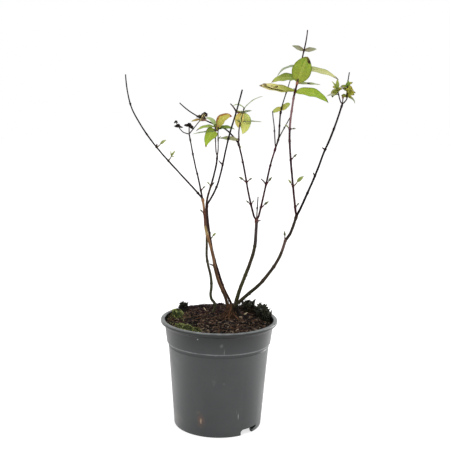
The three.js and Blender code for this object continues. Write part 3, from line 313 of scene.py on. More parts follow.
LEAF_LOOKS = {
    "lime": LeafLook("8fa63c", "b4c54c", "c6d284", "9bab40"),
    "round": LeafLook("96a03a", "869c30", "a9b456", "80922c", outline=(0.6, 0.9), end=(0.95, "6b5a24"),
        spots=((0.86, -0.6, 2.6, "3a2a12"), (0.93, -0.35, 2.0, "57461c"))),
    "split_brown": LeafLook("98a636", "e4d69c", "b8b868", "cbbc6a",
        outline=(0.62, 1.0), end=(0.93, "6d563c"),
        spots=((0.55, -0.35, 1.3, "5a3a16"), (0.6, 0.05, 1.9, "5a3312"), (0.66, 0.35, 1.4, "6b4420"),
               (0.72, -0.1, 0.9, "7a4a1c"))),
    "deep": LeafLook("a9ba44", "8cae2c", "b4c45c", "789828", end=(0.93, "4c4c2e")),
    "deep_young": LeafLook("4f6a24", "8aa83c", "8fa85a", "55702a", end=(0.9, "7d8272")),
    "pale_rust": LeafLook("a9b46c", "cdcb88", "d2d6a2", "98a05c", end=(0.9, "5b5240")),
    "fresh": LeafLook("8ba34a", "a8b04e", "b4c272", "8d9458", end=(0.93, "8a7a48")),
    "grey": LeafLook("8d9878", "9aa684", "a8b090", "828c6c"),
    "grey_up": LeafLook("a3b878", "a9bb80", "b4c48e", "98ad70"),
    "grey_spot": LeafLook("b9c08c", "aab884", "c4cca0", "9aa678",
        spots=((0.5, 0.2, 2.2, "3c3020"), (0.56, -0.2, 1.3, "5a4a30"))),
    "grey_red": LeafLook("a3a070", "93a070", "a9ad8c", "b39a78"),
    "fresh_edge": LeafLook("8fa84a", "97a83e", "b4c468", "4a4a20", end=(0.86, "4f3a22")),
    "grey_top": LeafLook("8a7a62", "98a07c", "a8ae8c", "868e68"),
    "pair": LeafLook("c2b654", "a5b65c", "bcc67c", "93a250", outline=(0.42, 0.7)),
    "olive_edge": LeafLook("8f9a3c", "a3a860", "b5b878", "2f2c12", end=(0.86, "1f1c10")),
    "olive_green": LeafLook("6f8a30", "7f9a3c", "97ad58", "5f7428"),
    "bud_tan": LeafLook("a8786a", "d9b898", "d9b898", "b98a72"),
    "yellow": LeafLook("dfc268", "e8dc7c", "efe49c", "e0cf6c"),
    "yellow_green": LeafLook("d2dc78", "dede74", "e6ea98", "b8d68a"),
    "rusty": LeafLook("b6b84c", "c0b050", "c9c46c", "a3a048", rim=(0.66, "9a643a"), end=(0.88, "8a3f2a")),
    "hanging": LeafLook("96aa3a", "a0ba30", "b0c45c", "828c3c", outline=(1.0, 0.4), end=(0.88, "6f5428")),
    "olive": LeafLook("7f8c36", "8f9438", "a6ad5c", "55471f", end=(0.8, "43351c")),
    "olive_yellow": LeafLook("a3a83c", "b5ae40", "c9c66c", "6a5424", end=(0.84, "4b3719")),
    "pale_grey": LeafLook("a8aa98", "c3c4b4", "cfd0c4", "a4a694"),
    "young": LeafLook("7c8850", "98a45c", "a6b072", "788450", end=(0.9, "7c6044")),
    "shoot_green": LeafLook("8a9458", "a4b062", "b0b87c", "788450", end=(0.92, "6a5c3c")),
    "shoot_dark": LeafLook("4a4a34", "747a4a", "848a5e", "44442e", end=(0.88, "4a4230")),
    "dark_young": LeafLook("4a4a20", "6f7426", "86883c", "3a3218", end=(0.8, "2c2012")),
    "dry_yellow": LeafLook("b08450", "a8a04c", "c0ac70", "8a6a3e"),
    "dry_pink": LeafLook("a07868", "b48c78", "bc9c88", "7f5a4c"),
    "straw": LeafLook("b09a68", "d8c690", "dcd0a4", "a08c5c"),
    "dry_dark": LeafLook("1c1310", "2c1e19", "38281f", "150e0c"),
    "dry_grey": LeafLook("4c4a38", "66644c", "74725c", "34322a"),
    "black_lobe": LeafLook("1c1b15", "3c3c30", "4a4b3c", "1a1914", outline=(1.0, 0.5)),
}

CRUMB_COLOURS = ("0c0a08", "140f0e", "2a1d1e", "1e1512", "100c0c", "5c4236", "1c1314", "806452", "181113",
                 "a48c76")
BACK_TINGE = "3b1c28"
ROOT_COLOURS = ("543a28", "8a6444", "33241c", "6b5440")
FIBRE_COLOURS = ("5b4636", "7a6048", "3c2d25", "8d765c", "4d342a", "6a4c3c")
GREENS = ("15180f", "202416", "32361d", "484c27", "636736", "8a8e4e", "bcbd78")
DARK_GREENS = ("14150f", "1b1d14", "24261a", "2e3022", "3a3b26", "4d4c30")
FLAKES = ("0d0d0b", "131410", "1a1a14", "22211a", "2a251c", "171412")
BROWN_FLAKES = ("1d1812", "2a2118", "382b1e", "4a3826", "15120f", "2c2a1c")


def lerp(low, high, share):
    return low + (high - low) * share


def clamp(value):
    return min(1, max(0, value))


def smoothstep(value, low, high):
    share = clamp((value - low) / (high - low))
    return share * share * (3 - 2 * share)


def polar(radius, angle):
    return radius * cos(angle), radius * sin(angle)


def turns(count):
    """Evenly spaced angles round a circle"""
    return [i * 2 * pi / count for i in range(count)]


def shares(count):
    """Evenly spaced shares from 0 to 1"""
    return [i / (count - 1) for i in range(count)]


def grain(*place):
    return noise.noise(Vector(place))


def seeded_numbers(seed):
    """The source's own repeatable numbers from 0 to 1"""
    state = seed

    def draw():
        nonlocal state
        state = (state + 0x6D2B79F5) & WORD
        mixed = ((state ^ (state >> 15)) * (1 | state)) & WORD
        mixed = ((mixed + (((mixed ^ (mixed >> 7)) * (61 | mixed)) & WORD)) & WORD) ^ mixed
        return (mixed ^ (mixed >> 14)) / 4294967296

    return draw


# Colours and materials

def screen(code):
    return Vector(int(code[i:i + 2], 16) / 255 for i in (0, 2, 4))


def linear(channel):
    return channel / 12.92 if channel <= 0.04045 else ((channel + 0.055) / 1.055) ** 2.4


# Finishes: roughness, bump, scale of the grain, step between tints of 255, specular level and gain, which
# is how much brighter than its base colour a surface of this kind looks in the studio light

Finish = namedtuple("Finish", "roughness bump scale step specular gain")

FINISHES = {
    "leaf": Finish((0.5, 0.68), 0.25, 700, 14, 0.16, 1.22),
    "bark": Finish((0.6, 0.85), 0.5, 1400, 9, 0.1, 1.9),
    "crumb": Finish((0.8, 0.95), 0.6, 900, 10, 0.1, 2.2),
    "moss": Finish((0.7, 0.9), 0.3, 1500, 14, 0.1, 1.25),
}

materials = {}


def set_inputs(tree, node, inputs):
    """Gives a node's inputs their values, or links them to the outputs of other nodes"""
    for key, value in inputs.items():
        if isinstance(value, bpy.types.NodeSocket):
            tree.links.new(value, node.inputs[key])
        else:
            node.inputs[key].default_value = value


def add_node(tree, kind, output, inputs, **settings):
    node = tree.nodes.new("ShaderNode" + kind)
    for name, value in settings.items():
        setattr(node, name, value)
    set_inputs(tree, node, inputs)
    return node.outputs[output]


def noise_node(tree, coordinates, scale, detail, roughness=0.5):
    inputs = {"Vector": coordinates, "Scale": scale, "Detail": detail, "Roughness": roughness}
    return add_node(tree, "TexNoise", "Fac", inputs)


def range_node(tree, value, low, high, to_low, to_high):
    inputs = {"Value": value, "From Min": low, "From Max": high, "To Min": to_low, "To Max": to_high}
    return add_node(tree, "MapRange", "Result", inputs)


def bump_node(tree, height, strength, distance):
    inputs = {"Height": height, "Strength": strength, "Distance": distance}
    return add_node(tree, "Bump", "Normal", inputs)


def ramp_node(tree, value, *stops):
    ramp = tree.nodes.new("ShaderNodeValToRGB")
    for element, (position, colour) in zip(ramp.color_ramp.elements, stops):
        element.position = position
        element.color = (*colour, 1)
    tree.links.new(value, ramp.inputs["Fac"])
    return ramp.outputs["Color"]


def new_material(name):
    material = bpy.data.materials.new(name)
    material.use_nodes = True
    tree = material.node_tree
    coordinates = tree.nodes.new("ShaderNodeTexCoord").outputs["Object"]
    return material, tree, tree.nodes["Principled BSDF"], coordinates


def tinted(kind, colour):
    """The material of one plain tint, with its roughness and fine relief from noise"""
    finish = FINISHES[kind]
    steps = tuple(int(round(c * 255 / finish.step)) for c in colour)
    key = (kind, *steps)
    if key not in materials:
        material, tree, shader, coordinates = new_material("_".join(map(str, key)))
        base = (*(linear(min(1, s * finish.step / 255)) / finish.gain for s in steps), 1)
        speckle = noise_node(tree, coordinates, finish.scale, 3)
        set_inputs(tree, shader, {
            "Base Color": base,
            "Specular IOR Level": finish.specular,
            "Roughness": range_node(tree, speckle, 0.3, 0.7, *finish.roughness),
            "Normal": bump_node(tree, speckle, finish.bump, 0.0004),
        })
        material.diffuse_color = base
        materials[key] = material
    return materials[key]


# Meshes

def new_object(name, data):
    piece = bpy.data.objects.new(name, data)
    bpy.context.scene.collection.objects.link(piece)
    return piece


def new_solid(name, points, faces):
    """An object from points in millimetres, with its faces turned outward"""
    mesh = bpy.data.meshes.new(name)
    mesh.from_pydata([tuple(point * MM) for point in points], [], faces)
    shape = bmesh.new()
    shape.from_mesh(mesh)
    bmesh.ops.recalc_face_normals(shape, faces=shape.faces)
    shape.to_mesh(mesh)
    shape.free()
    return new_object(name, mesh)


class Skin:
    """Points in millimetres, faces and one material for each face"""

    def __init__(self):
        self.points = []
        self.faces = []
        self.looks = []

    def add(self, points, faces, look):
        first = len(self.points)
        self.points.extend(points)
        self.faces.extend([first + corner for corner in face] for face in faces)
        self.looks.extend([look] * len(faces))

    def object(self, name, slot, nodes=(), smooth=True):
        piece = new_solid(name, self.points, self.faces)
        mesh = piece.data
        numbers = {look: number for number, look in enumerate(dict.fromkeys(self.looks))}
        for material in numbers:
            mesh.materials.append(material)
        mesh.polygons.foreach_set("material_index", [numbers[look] for look in self.looks])
        mesh.polygons.foreach_set("use_smooth", [smooth] * len(self.faces))
        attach(piece, "root")
        if nodes:
            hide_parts(*nodes)
        return piece


def ring_round(centre, across, other, count, reach):
    """Points round a centre. The reach is one length, or a function that gives it for each angle."""
    reach_at = reach if callable(reach) else lambda angle: reach
    return [centre + (across * cos(a) + other * sin(a)) * reach_at(a) for a in turns(count)]


def add_rings(skin, rings, look_at):
    """Joins rings of equally many points into a closed skin. look_at gives ring i, side j its look."""
    count = len(rings[0])
    first = len(skin.points)
    for ring in rings:
        skin.points.extend(ring)
    for i in range(len(rings) - 1):
        for j in range(count):
            low, high, after = first + i * count, first + (i + 1) * count, (j + 1) % count
            skin.faces.append([low + j, low + after, high + after, high + j])
            skin.looks.append(look_at(i, j))
    last = first + (len(rings) - 1) * count
    skin.faces += [[first + j for j in reversed(range(count))], [last + j for j in range(count)]]
    skin.looks += [look_at(0, 0), look_at(len(rings) - 2, 0)]


# Limbs

def value_at(pairs, distance):
    for (start, low), (end, high) in zip(pairs, pairs[1:]):
        if distance <= end:
            return lerp(low, high, (distance - start) / (end - start))
    return pairs[-1][1]


def limb_direction(limb, distance):
    lean = radians(value_at(limb.bends, distance))
    swing = radians(limb.swing)
    return Vector((sin(lean) * cos(swing), sin(swing), cos(lean) * cos(swing)))


def point_along(limb, start, distance):
    point = start.copy()
    walked = 0
    while walked < distance:
        stride = min(1, distance - walked)
        point += limb_direction(limb, walked + stride / 2) * stride
        walked += 1
    return point


def bark_look(bark, seed, distance, angle):
    """A tint between the two colours that the bark has here, in lengthwise streaks"""
    x, y = polar(1, angle)
    wander = 7 * grain(distance * 0.11, angle, seed)
    streak = grain(distance * 0.07, 2.2 * x, 2.2 * y + seed)
    fleck = grain(distance * 0.6, 3 * x, 3 * y)
    _, dark, light = [row for row in bark if row[0] <= max(0, distance + wander)][-1]
    return tinted("bark", screen(dark).lerp(screen(light), clamp(0.5 + 0.75 * streak + 0.3 * fleck)))


def add_limb(skin, limb, start, seed, forks=False, relief=1.0):
    """A tapering limb with swollen leaf joints, and bark with lengthwise fissures"""
    thick, thin = limb.radii
    sides = 18 if thick > 1.6 else 12
    count = max(6, int(limb.length / RING_SPACING))
    stride = limb.length / count
    across = limb_direction(limb, 0).cross(FRONT).normalized()
    centre = start.copy()
    rings = []
    marks = []
    for i in range(count + 1):
        at = limb.length * i / count
        along = limb_direction(limb, at)
        if i:
            centre = centre + limb_direction(limb, at - stride / 2) * stride
        across = (across - along * across.dot(along)).normalized()
        radius = lerp(thick, thin, at / limb.length)
        for joint in limb.nodes:
            radius += NODE_SWELLING * min(1, radius / 1.2) * exp(-((at - joint) / JOINT_REACH) ** 2)
            radius -= SCAR_DEPTH * radius * exp(-((at - joint - SCAR_OFFSET) / SCAR_REACH) ** 2)
        if forks:
            radius += FORK_SWELLING * exp(-((limb.length - at) / FORK_REACH) ** 2)

        def bulge(angle):
            x, y = polar(1, angle)
            fissure = grain(at * 0.09, 3.1 * x, 3.1 * y + thick)
            knobs = grain(at * 0.35, 1.3 * x, 1.3 * y - thick)
            return radius * (1 + relief * (FISSURES * fissure + KNOBS * knobs))

        rings.append(ring_round(centre, across, along.cross(across), sides, bulge))
        marks.append(at)
    middle = sum(rings[-1], Vector()) / sides
    for grow, shrink in ((0.25, 0.86), (0.42, 0.5)):
        rings.append([middle + along * grow * thin + (point - middle) * shrink for point in rings[count]])
        marks.append(limb.length)
    add_rings(skin, rings, lambda i, j: bark_look(limb.bark, seed, marks[i], j * 2 * pi / sides))


def add_bud(skin, limb, start, at, turn, size):
    """A pointed bud that leans out of a leaf joint"""
    along = limb_direction(limb, at)
    out = Matrix.Rotation(turn, 3, along) @ along.cross(FRONT).normalized()
    foot = point_along(limb, start, at) + out * lerp(*limb.radii, at / limb.length) * 0.7
    axis = (along * 0.75 + out).normalized()
    side = axis.cross(along).normalized()
    profile = ((0, 0.5), (0.25, 0.62), (0.55, 0.5), (0.85, 0.22), (1, 0.04))
    rings = [ring_round(foot + axis * size * share, side, axis.cross(side), 6, size * girth / 2)
             for share, girth in profile]
    look = tinted("bark", screen(limb.bark[-1][2]).lerp(screen("8c5a48"), 0.45))
    add_rings(skin, rings, lambda i, j: look)


def add_strand(skin, points, radius, look):
    """A thin root, straw or stalk through points"""
    rings = []
    for i, point in enumerate(points):
        before, after = points[max(0, i - 1)], points[min(len(points) - 1, i + 1)]
        along = (after - before).normalized()
        across = along.cross(Vector((0, 0, 1)))
        if across.length < 0.1:
            across = along.cross(Vector((1, 0, 0)))
        across.normalize()
        girth = radius * (1 - 0.55 * i / len(points))
        rings.append(ring_round(point, across, along.cross(across), 6, girth))
    add_rings(skin, rings, lambda i, j: look)


# Leaves

def direction(heading, rise):
    return Vector((cos(heading) * cos(rise), sin(heading) * cos(rise), sin(rise)))


def blade_frame(blade, share):
    """How a blade runs, faces and spreads at a share of its length"""
    heading = radians(blade.heading)
    along = direction(heading, radians(blade.rise - blade.droop * share ** 1.2))
    upright = along.cross(Vector((-sin(heading), cos(heading), 0))).normalized()
    if upright.z < 0:
        upright = -upright
    front = FRONT - along * FRONT.dot(along)
    tilt = radians(blade.tilt)
    face = upright * cos(tilt)
    if front.length > 0.05:
        face += front.normalized() * sin(tilt)
    face = (face - along * face.dot(along)).normalized()
    return along, face, face.cross(along).normalized()


def leaf_colour(look, share, across, half, length, seed):
    """The tint at a share of the length and a place from -1 to 1 across the blade"""
    mottle = grain(share * length * 0.22, across * half * 0.3, seed)
    speck = grain(share * length * 0.9, across * half * 0.9, seed + 7)
    colour = screen(look.foot).lerp(screen(look.tip), clamp(share * 1.15 - 0.05 + 0.35 * mottle))
    edge = abs(across)
    if edge > 0.8:
        colour = colour.lerp(screen(look.edge), 0.75 * smoothstep(edge, 0.78, 0.95))
    rib = (share * VEINS - edge * VEIN_SLANT) % 1
    vein = max(0, 1 - abs(rib - 0.5) * 6) * 0.3 if edge < 0.9 and length > VEINED_LENGTH else 0
    colour = colour.lerp(screen(look.vein), 0.6 if edge < 0.09 else vein)
    colour *= 1 + 0.16 * speck
    if look.rim and across > look.rim[0] + 0.2 * mottle:
        colour = colour.lerp(screen(look.rim[1]), 0.8)
    for at, place, radius, code in look.spots:
        gap = hypot((share - at) * length, (across - place) * half)
        if gap < radius * (1 + 0.5 * mottle + 0.4 * speck):
            colour = screen(code)
    if look.end and share > look.end[0] + 0.08 * mottle - 0.05 * edge:
        colour = colour.lerp(screen(look.end[1]), 0.8)
    return Vector(map(clamp, colour))


def add_leaf(skin, root, blade, look, seed):
    """A leaf blade with a midrib, side veins and a wavy rim, in its own outline"""
    length = blade.length
    rows = min(40, max(8, int(length * 1.1)))
    columns = 15 if blade.width > 7 else 9 if blade.width > 3 else 5
    full, middle = look.outline
    point = root.copy()
    rings = []
    halves = []
    walked = 0
    places = [lerp(-1, 1, share) for share in shares(columns)]
    for share in shares(rows + 1):
        point = point + blade_frame(blade, (share + walked) / 2)[0] * (share - walked) * length
        walked = share
        _, face, across = blade_frame(blade, share)
        half = (blade.width / 2) * max(0, sin(pi * share ** middle)) ** full
        half = max(half, 0.55 * (1 - share), 0.08)
        upper = []
        lower = []
        for place in places:
            edge = abs(place)
            wave = sin(share * 17 + seed * 3 + (2 if place > 0 else 0))
            rise = LEAF_FOLD * half * edge ** 1.35 + 0.07 * half * wave * edge ** 2
            rib = (share * VEINS - edge * VEIN_SLANT) % 1
            relief = MIDRIB_DEPTH * exp(-((place * half) / 0.5) ** 2)
            if length > VEINED_LENGTH:
                relief += VEIN_DEPTH * exp(-((rib - 0.5) / 0.17) ** 2) * (1 - edge)
            base = point + across * place * half + face * (rise - relief)
            thickness = BLADE_HALF_THICKNESS * (1 - edge ** 6)
            upper.append(base + face * thickness)
            lower.append(base - face * thickness)
        rings.append(upper + lower[-2:0:-1])
        halves.append(half)

    def look_at(i, j):
        at = j if j < columns - 1 else 2 * (columns - 1) - 1 - j
        place = (places[at] + places[min(at + 1, columns - 1)]) / 2
        colour = leaf_colour(look, (i + 0.5) / rows, place, halves[i], length, seed)
        if j >= columns - 1:
            colour = colour.lerp(Vector(UNDERSIDE), 0.22)
        return tinted("leaf", colour)

    add_rings(skin, rings, look_at)


# What a shoot bears at the tip of its stalk, as turn from its rise, share of its length and slimness

SHOOT_LEAVES = {
    "sprig": ((3, 0.62, 0.34), (40, 0.56, 0.2), (-58, 0.34, 0.24)),
    "leaf": ((0, 0.64, 0.46), (24, 0.36, 0.34)),
    "dark_leaf": ((0, 0.62, 0.4), (-18, 0.36, 0.34)),
    "bare": (),
}
STALK_COLOURS = {"sprig": "7c6c44", "leaf": "7c6c44", "dark_leaf": "6a3a3a", "bare": "4a2a2c"}
STALK_SHARE = 0.42
STALK_STEPS = 6


def add_shoot(skin, limb, start, shoot, seed):
    """A thin curved stalk with small young leaves at its tip, or a bare one"""
    at, heading, rise, length, kind = shoot
    leaves = SHOOT_LEAVES[kind]
    stalk = length * (STALK_SHARE if leaves else 1)
    bend = 34 if leaves else 24 if length < 10 else -26
    points = [point_along(limb, start, at)]
    for i in range(STALK_STEPS):
        climb = radians(rise + bend * ((i + 0.5) / STALK_STEPS - 0.6))
        points.append(points[-1] + direction(radians(heading), climb) * stalk / STALK_STEPS)
    dark = kind in ("dark_leaf", "bare")
    add_strand(skin, points, 1.45 if dark else 1.25, tinted("bark", screen(STALK_COLOURS[kind])))
    look = LEAF_LOOKS["shoot_dark" if dark else "shoot_green"]
    for number, (lift, share, slimness) in enumerate(leaves):
        blade = Blade(heading + 10 * number, rise + lift, 12, 55, length * share,
                      max(1.5, length * share * slimness))
        add_leaf(skin, points[-1], blade, look, seed + number)


def add_head(skin, root, along, size, draw, seed):
    """A dry seed head: a ribbed capsule that has split at the top, in stiff withered sepals"""
    side = along.cross(FRONT).normalized()
    profile = ((0, 0.26), (0.12, 0.48), (0.32, 0.6), (0.55, 0.52), (0.72, 0.34), (0.84, 0.38), (0.8, 0.2),
               (0.68, 0.1))
    rings = [ring_round(root + along * size * (share * 1.05 - 0.1), side, along.cross(side), 15,
                        lambda angle: size * girth * (1 + 0.16 * cos(3 * angle) + 0.24 * (draw() - 0.5)))
             for share, girth in profile]
    shades = ("1c1311", "2c1e19", "120c0b")
    add_rings(skin, rings, lambda i, j: tinted("bark", screen(shades[(i + j) % 3])))
    for i in range(SEPALS):
        sepal = Blade(i * 360 / SEPALS + 30 * draw(), -8 + 34 * draw(), 10 + 50 * draw(), 50,
                      size * (0.9 + 0.45 * draw()), size * 0.7)
        add_leaf(skin, root, sepal, LEAF_LOOKS["dry_dark"], seed + i)


# Crumbs are jittered icosahedra

GOLDEN = (1 + 5 ** 0.5) / 2
LUMP_CORNERS = [Vector(corner) for a in (-1, 1) for b in (-GOLDEN, GOLDEN)
                for corner in ((0, a, b), (a, b, 0), (b, 0, a))]
LUMP_FACES = []
for trio in combinations(range(12), 3):
    a, b, c = (LUMP_CORNERS[corner] for corner in trio)
    if max((a - b).length, (b - c).length, (c - a).length) < 2.1:
        outward = (a - b).cross(b - c).dot(a) > 0
        LUMP_FACES.append(trio if outward else (trio[0], trio[2], trio[1]))


def add_lump(skin, centre, size, turn, look, draw):
    """A rough crumb, stretched and turned"""
    spread = turn @ Matrix.Diagonal(Vector(size))
    points = [centre + spread @ (corner / 1.9 * (0.75 + 0.5 * draw())) for corner in LUMP_CORNERS]
    skin.add(points, LUMP_FACES, look)


# Soil surface

FOOT_A = Vector(LIMBS["stem_a"].origin[:2])
FOOT_CROWN = Vector((CROWN.x, CROWN.y))


def soil_height(x, y):
    reach = min(1, hypot(x, y) / (POT.mouth_radius - 4))
    mound = lerp(SOIL.crown_height, SOIL.edge_height, reach * reach)
    ripple = sin(x * 0.21 + 1.3) * cos(y * 0.17 - 0.4) + 0.6 * sin(x * 0.09 - y * 0.33)
    back = SOIL.back_rise * max(y, 0) * reach / POT.mouth_radius
    place = Vector((x, y))
    to_foot = (place - FOOT_A).length / SOIL.foot_seat
    to_crown = (place - FOOT_CROWN).length / SOIL.crown_seat
    loose = smoothstep(min(to_foot, to_crown), 0.9, 1.6)
    return lerp(SOIL.crown_height, mound + back + ripple * SOIL.lump, loose)


def soil_top(x, y):
    """The soil's own shape with fine lumps of compost on it"""
    lumps = 1.1 * grain(x * 0.16, y * 0.16, 3) + 0.9 * abs(grain(x * 0.45, y * 0.45, 9))
    return soil_height(x, y) + lumps


def compost_material():
    material, tree, shader, coordinates = new_material("compost")
    blend = noise_node(tree, coordinates, 160, 6, 0.65)
    colour = ramp_node(tree, blend, (0.32, (0.005, 0.0038, 0.0034)), (0.72, (0.03, 0.02, 0.016)))
    set_inputs(tree, shader, {
        "Base Color": colour,
        "Roughness": 0.9,
        "Specular IOR Level": 0.25,
        "Normal": bump_node(tree, blend, 0.8, 0.001),
    })
    return material


def build_soil():
    """The compost, which fills the pot from its floor to the lumpy top"""
    floor = POT.gutter_height + POT.floor_thickness + 0.3
    base = POT.base_radius - POT.wall - 0.9
    shoulder = POT.band_foot_radius - POT.step_depth - POT.wall - 0.9
    top = POT.band_top_radius - POT.wall - 1.1
    skin = Skin()
    look = compost_material()

    def ring(radius, height_at):
        places = [polar(radius, angle) for angle in turns(SOIL.sectors)]
        return [Vector((x, y, height_at(x, y))) for x, y in places]

    sides = ((base - 2, floor), (base, floor + 3), (shoulder, POT.band_foot_height - 4),
             (top, SOIL.edge_height - 3))
    rings = [ring(radius, lambda x, y: height) for radius, height in sides]
    for i in range(SOIL.rings):
        radius = top * (1 - i / SOIL.rings) - (0.4 if i == 0 else 0)
        rings.append(ring(max(radius, 0.3), soil_top))
    add_rings(skin, rings, lambda i, j: look)
    skin.object("compost", "soil", ["potting_soil"])


def build_crumbs():
    """Crumbs and bark chips that lie on the compost"""
    draw = seeded_numbers(401)
    crumbs = Skin()
    for _ in range(CRUMBS):
        x, y = polar((POT.mouth_radius - 3.4) * sqrt(draw()), 2 * pi * draw())
        size = 0.4 + 1.35 * draw() ** 3
        length = size * (1 + 2.4 * draw() ** 3)
        turn = Matrix.Rotation(6.3 * draw(), 3, "Z") @ Matrix.Rotation(0.8 * (draw() - 0.5), 3, "Y")
        colour = screen(CRUMB_COLOURS[int(draw() * len(CRUMB_COLOURS))])
        if y > 10:
            colour = colour.lerp(screen(BACK_TINGE), 0.4 * smoothstep(y, 10, 40))
        centre = Vector((x, y, soil_top(x, y) + size * 0.25))
        add_lump(crumbs, centre, (length, size, size * 0.7), turn, tinted("crumb", colour), draw)
    crumbs.object("compost_crumbs", "soil", smooth=False)


# Straws on the soil: place, length, turn in degrees, colour and radius

STRAWS = (
    (-22, 42, 8, 118, "d9c7a4", 0.9), (31, 1, 4, 20, "efe0bd", 1.4), (40, 22, 9, 60, "e2d3ae", 1.2),
    (-52, 6, 7, 150, "8a6a4a", 0.7), (-8, -30, 7, 30, "7b5a44", 0.6), (18, -45, 9, 160, "6b4c38", 0.6),
    (50, -20, 8, 80, "5f4433", 0.6), (-30, -4, 9, 10, "735238", 0.6), (-14, 20, 6, 75, "9a8a6a", 0.6),
)


def soil_curve(x, y, near, far, heading, bend, count, lift_at):
    """Points over the soil from near to far of x, y, in a heading that bends on the way"""
    points = []
    for share in shares(count):
        dx, dy = polar(lerp(near, far, share), heading + bend * share)
        points.append(Vector((x + dx, y + dy, soil_height(x + dx, y + dy) + lift_at(share))))
    return points


def build_strands():
    """Thin orange roots at the crown, fibres all over and bits of straw"""
    draw = seeded_numbers(77)
    skin = Skin()
    for i in range(CROWN_ROOTS):
        bearing = radians(150 + 170 * draw())
        reach = 10 + 22 * draw()
        bend = radians(60 * (draw() - 0.5))
        points = soil_curve(CROWN.x, CROWN.y, 8, 8 + reach, bearing, bend, 9, lambda share: (
            1.2 + (6 + 4 * draw()) * (1 - share) ** 2 + 0.8 * sin(9 * share + i)))
        colour = screen(ROOT_COLOURS[i % len(ROOT_COLOURS)])
        add_strand(skin, points, 0.35 + 0.45 * draw(), tinted("bark", colour))
    for _ in range(FIBRES):
        x, y = polar((POT.mouth_radius - 7) * sqrt(draw()), 2 * pi * draw())
        heading = 2 * pi * draw()
        length = 4 + 9 * draw()
        bend = 1.6 * (draw() - 0.5)
        lift = 1.4 + 0.9 * draw()
        points = soil_curve(x, y, 0, length, heading, bend, 5,
                            lambda share: lift + 0.5 * sin(5 * share + heading))
        if max(point.xy.length for point in points) > POT.mouth_radius - 2:
            continue
        colour = screen(FIBRE_COLOURS[int(draw() * len(FIBRE_COLOURS))])
        add_strand(skin, points, 0.2 + 0.22 * draw(), tinted("bark", colour))
    for x, y, length, turn, colour, radius in STRAWS:
        points = soil_curve(x, y, -length / 2, length / 2, radians(turn), 0, 5,
                            lambda share: 2.6 + 0.12 * (share - 0.5) * length)
        add_strand(skin, points, radius, tinted("bark", screen(colour)))
    skin.object("roots_and_straw", "peeling_bark")


# Moss and litter

def patch_place(patch, share, angle):
    """The place on the soil at a share of the patch's half widths"""
    across, along = polar(share, angle)
    turn = Matrix.Rotation(radians(patch.turn), 3, "Z")
    place = turn @ Vector((patch.half_x * across, patch.half_y * along, 0))
    place += Vector((patch.x, patch.y, 0))
    widest = POT.band_top_radius - POT.wall - PATCH_INSET
    if place.length > widest:
        place = place.normalized() * widest
    place.z = soil_height(place.x, place.y)
    return place


def add_mound(skin, patch, colours, seed):
    draw = seeded_numbers(seed)
    sectors, levels = 40, 12
    lobes = [0.84 + 0.3 * draw() for _ in range(10)]
    rings = []
    for level in range(levels + 1):
        share = 1 - level / (levels + 1)
        ring = []
        for i, angle in enumerate(turns(sectors)):
            at = i * 10 / sectors
            lobe = lerp(lobes[int(at) % 10], lobes[(int(at) + 1) % 10], at - int(at))
            place = patch_place(patch, share * lobe, angle)
            bump = grain(place.x * 0.3, place.y * 0.3, seed)
            rise = (1 - share * share) * 0.92 + 0.28 * bump * (1 - share)
            place.z += patch.height * rise - (1.5 if level == 0 else 0)
            ring.append(place)
        rings.append(ring)
    add_rings(skin, rings, lambda i, j: tinted("moss", screen(colours[(i * 7 + j * 3) % len(colours)])))


def add_tufts(skin, patch, count, tall, colours, seed):
    """Small pointed moss blades that stand on a mound and stray past its edge"""
    draw = seeded_numbers(seed)
    for _ in range(count):
        radius, angle = 1.5 * sqrt(draw()), 2 * pi * draw()
        clump = grain(*polar(3 * radius, angle), seed)
        if radius > 0.75 + 0.6 * clump and draw() < 0.78:
            continue
        inside = max(0, 1 - radius * radius)
        lift = patch.height * inside * (0.85 + 0.3 * clump) - 0.4
        foot = patch_place(patch, radius, angle) + Vector((0, 0, lift))
        lean = Vector((draw() - 0.5, draw() - 0.5, 0.35 + draw() * 0.6)).normalized()
        length = tall * (0.5 + 0.8 * draw()) * (1 + 0.5 * clump)
        side = lean.cross(Vector((draw() - 0.5, draw() - 0.5, 0.2))).normalized()
        width = 0.28 + 0.3 * draw()
        middle = foot + lean * length * 0.45
        points = [foot + side * width * 0.4, foot - side * width * 0.4, middle + side * width,
                  middle - side * width, middle + lean.cross(side) * width * 0.7, foot + lean * length]
        pick = min(0.999, max(0, 0.5 + 0.9 * clump + 0.5 * (draw() - 0.5)))
        skin.add(points, TUFT_FACES, tinted("moss", screen(colours[int(pick * len(colours))])))


def add_flakes(skin, patch, count, size, colours, seed):
    """Jagged crumpled flakes of withered growth heaped on a mound"""
    draw = seeded_numbers(seed)
    for _ in range(count):
        radius, angle = 0.95 * sqrt(draw()), 2 * pi * draw()
        place = patch_place(patch, radius, angle)
        place.z += patch.height * (1 - radius * radius) * (0.55 + 0.5 * draw())
        turn = Matrix.Rotation(6.3 * draw(), 3, "Z") @ Matrix.Rotation(3.1 * draw(), 3, "Y")
        turn = turn @ Matrix.Rotation(3.1 * draw(), 3, "X")
        long = size * (0.5 + draw())
        look = tinted("moss", screen(colours[int(draw() * len(colours))]))
        add_lump(skin, place, (long, long * (0.3 + 0.4 * draw()), 0.3), turn, look, draw)


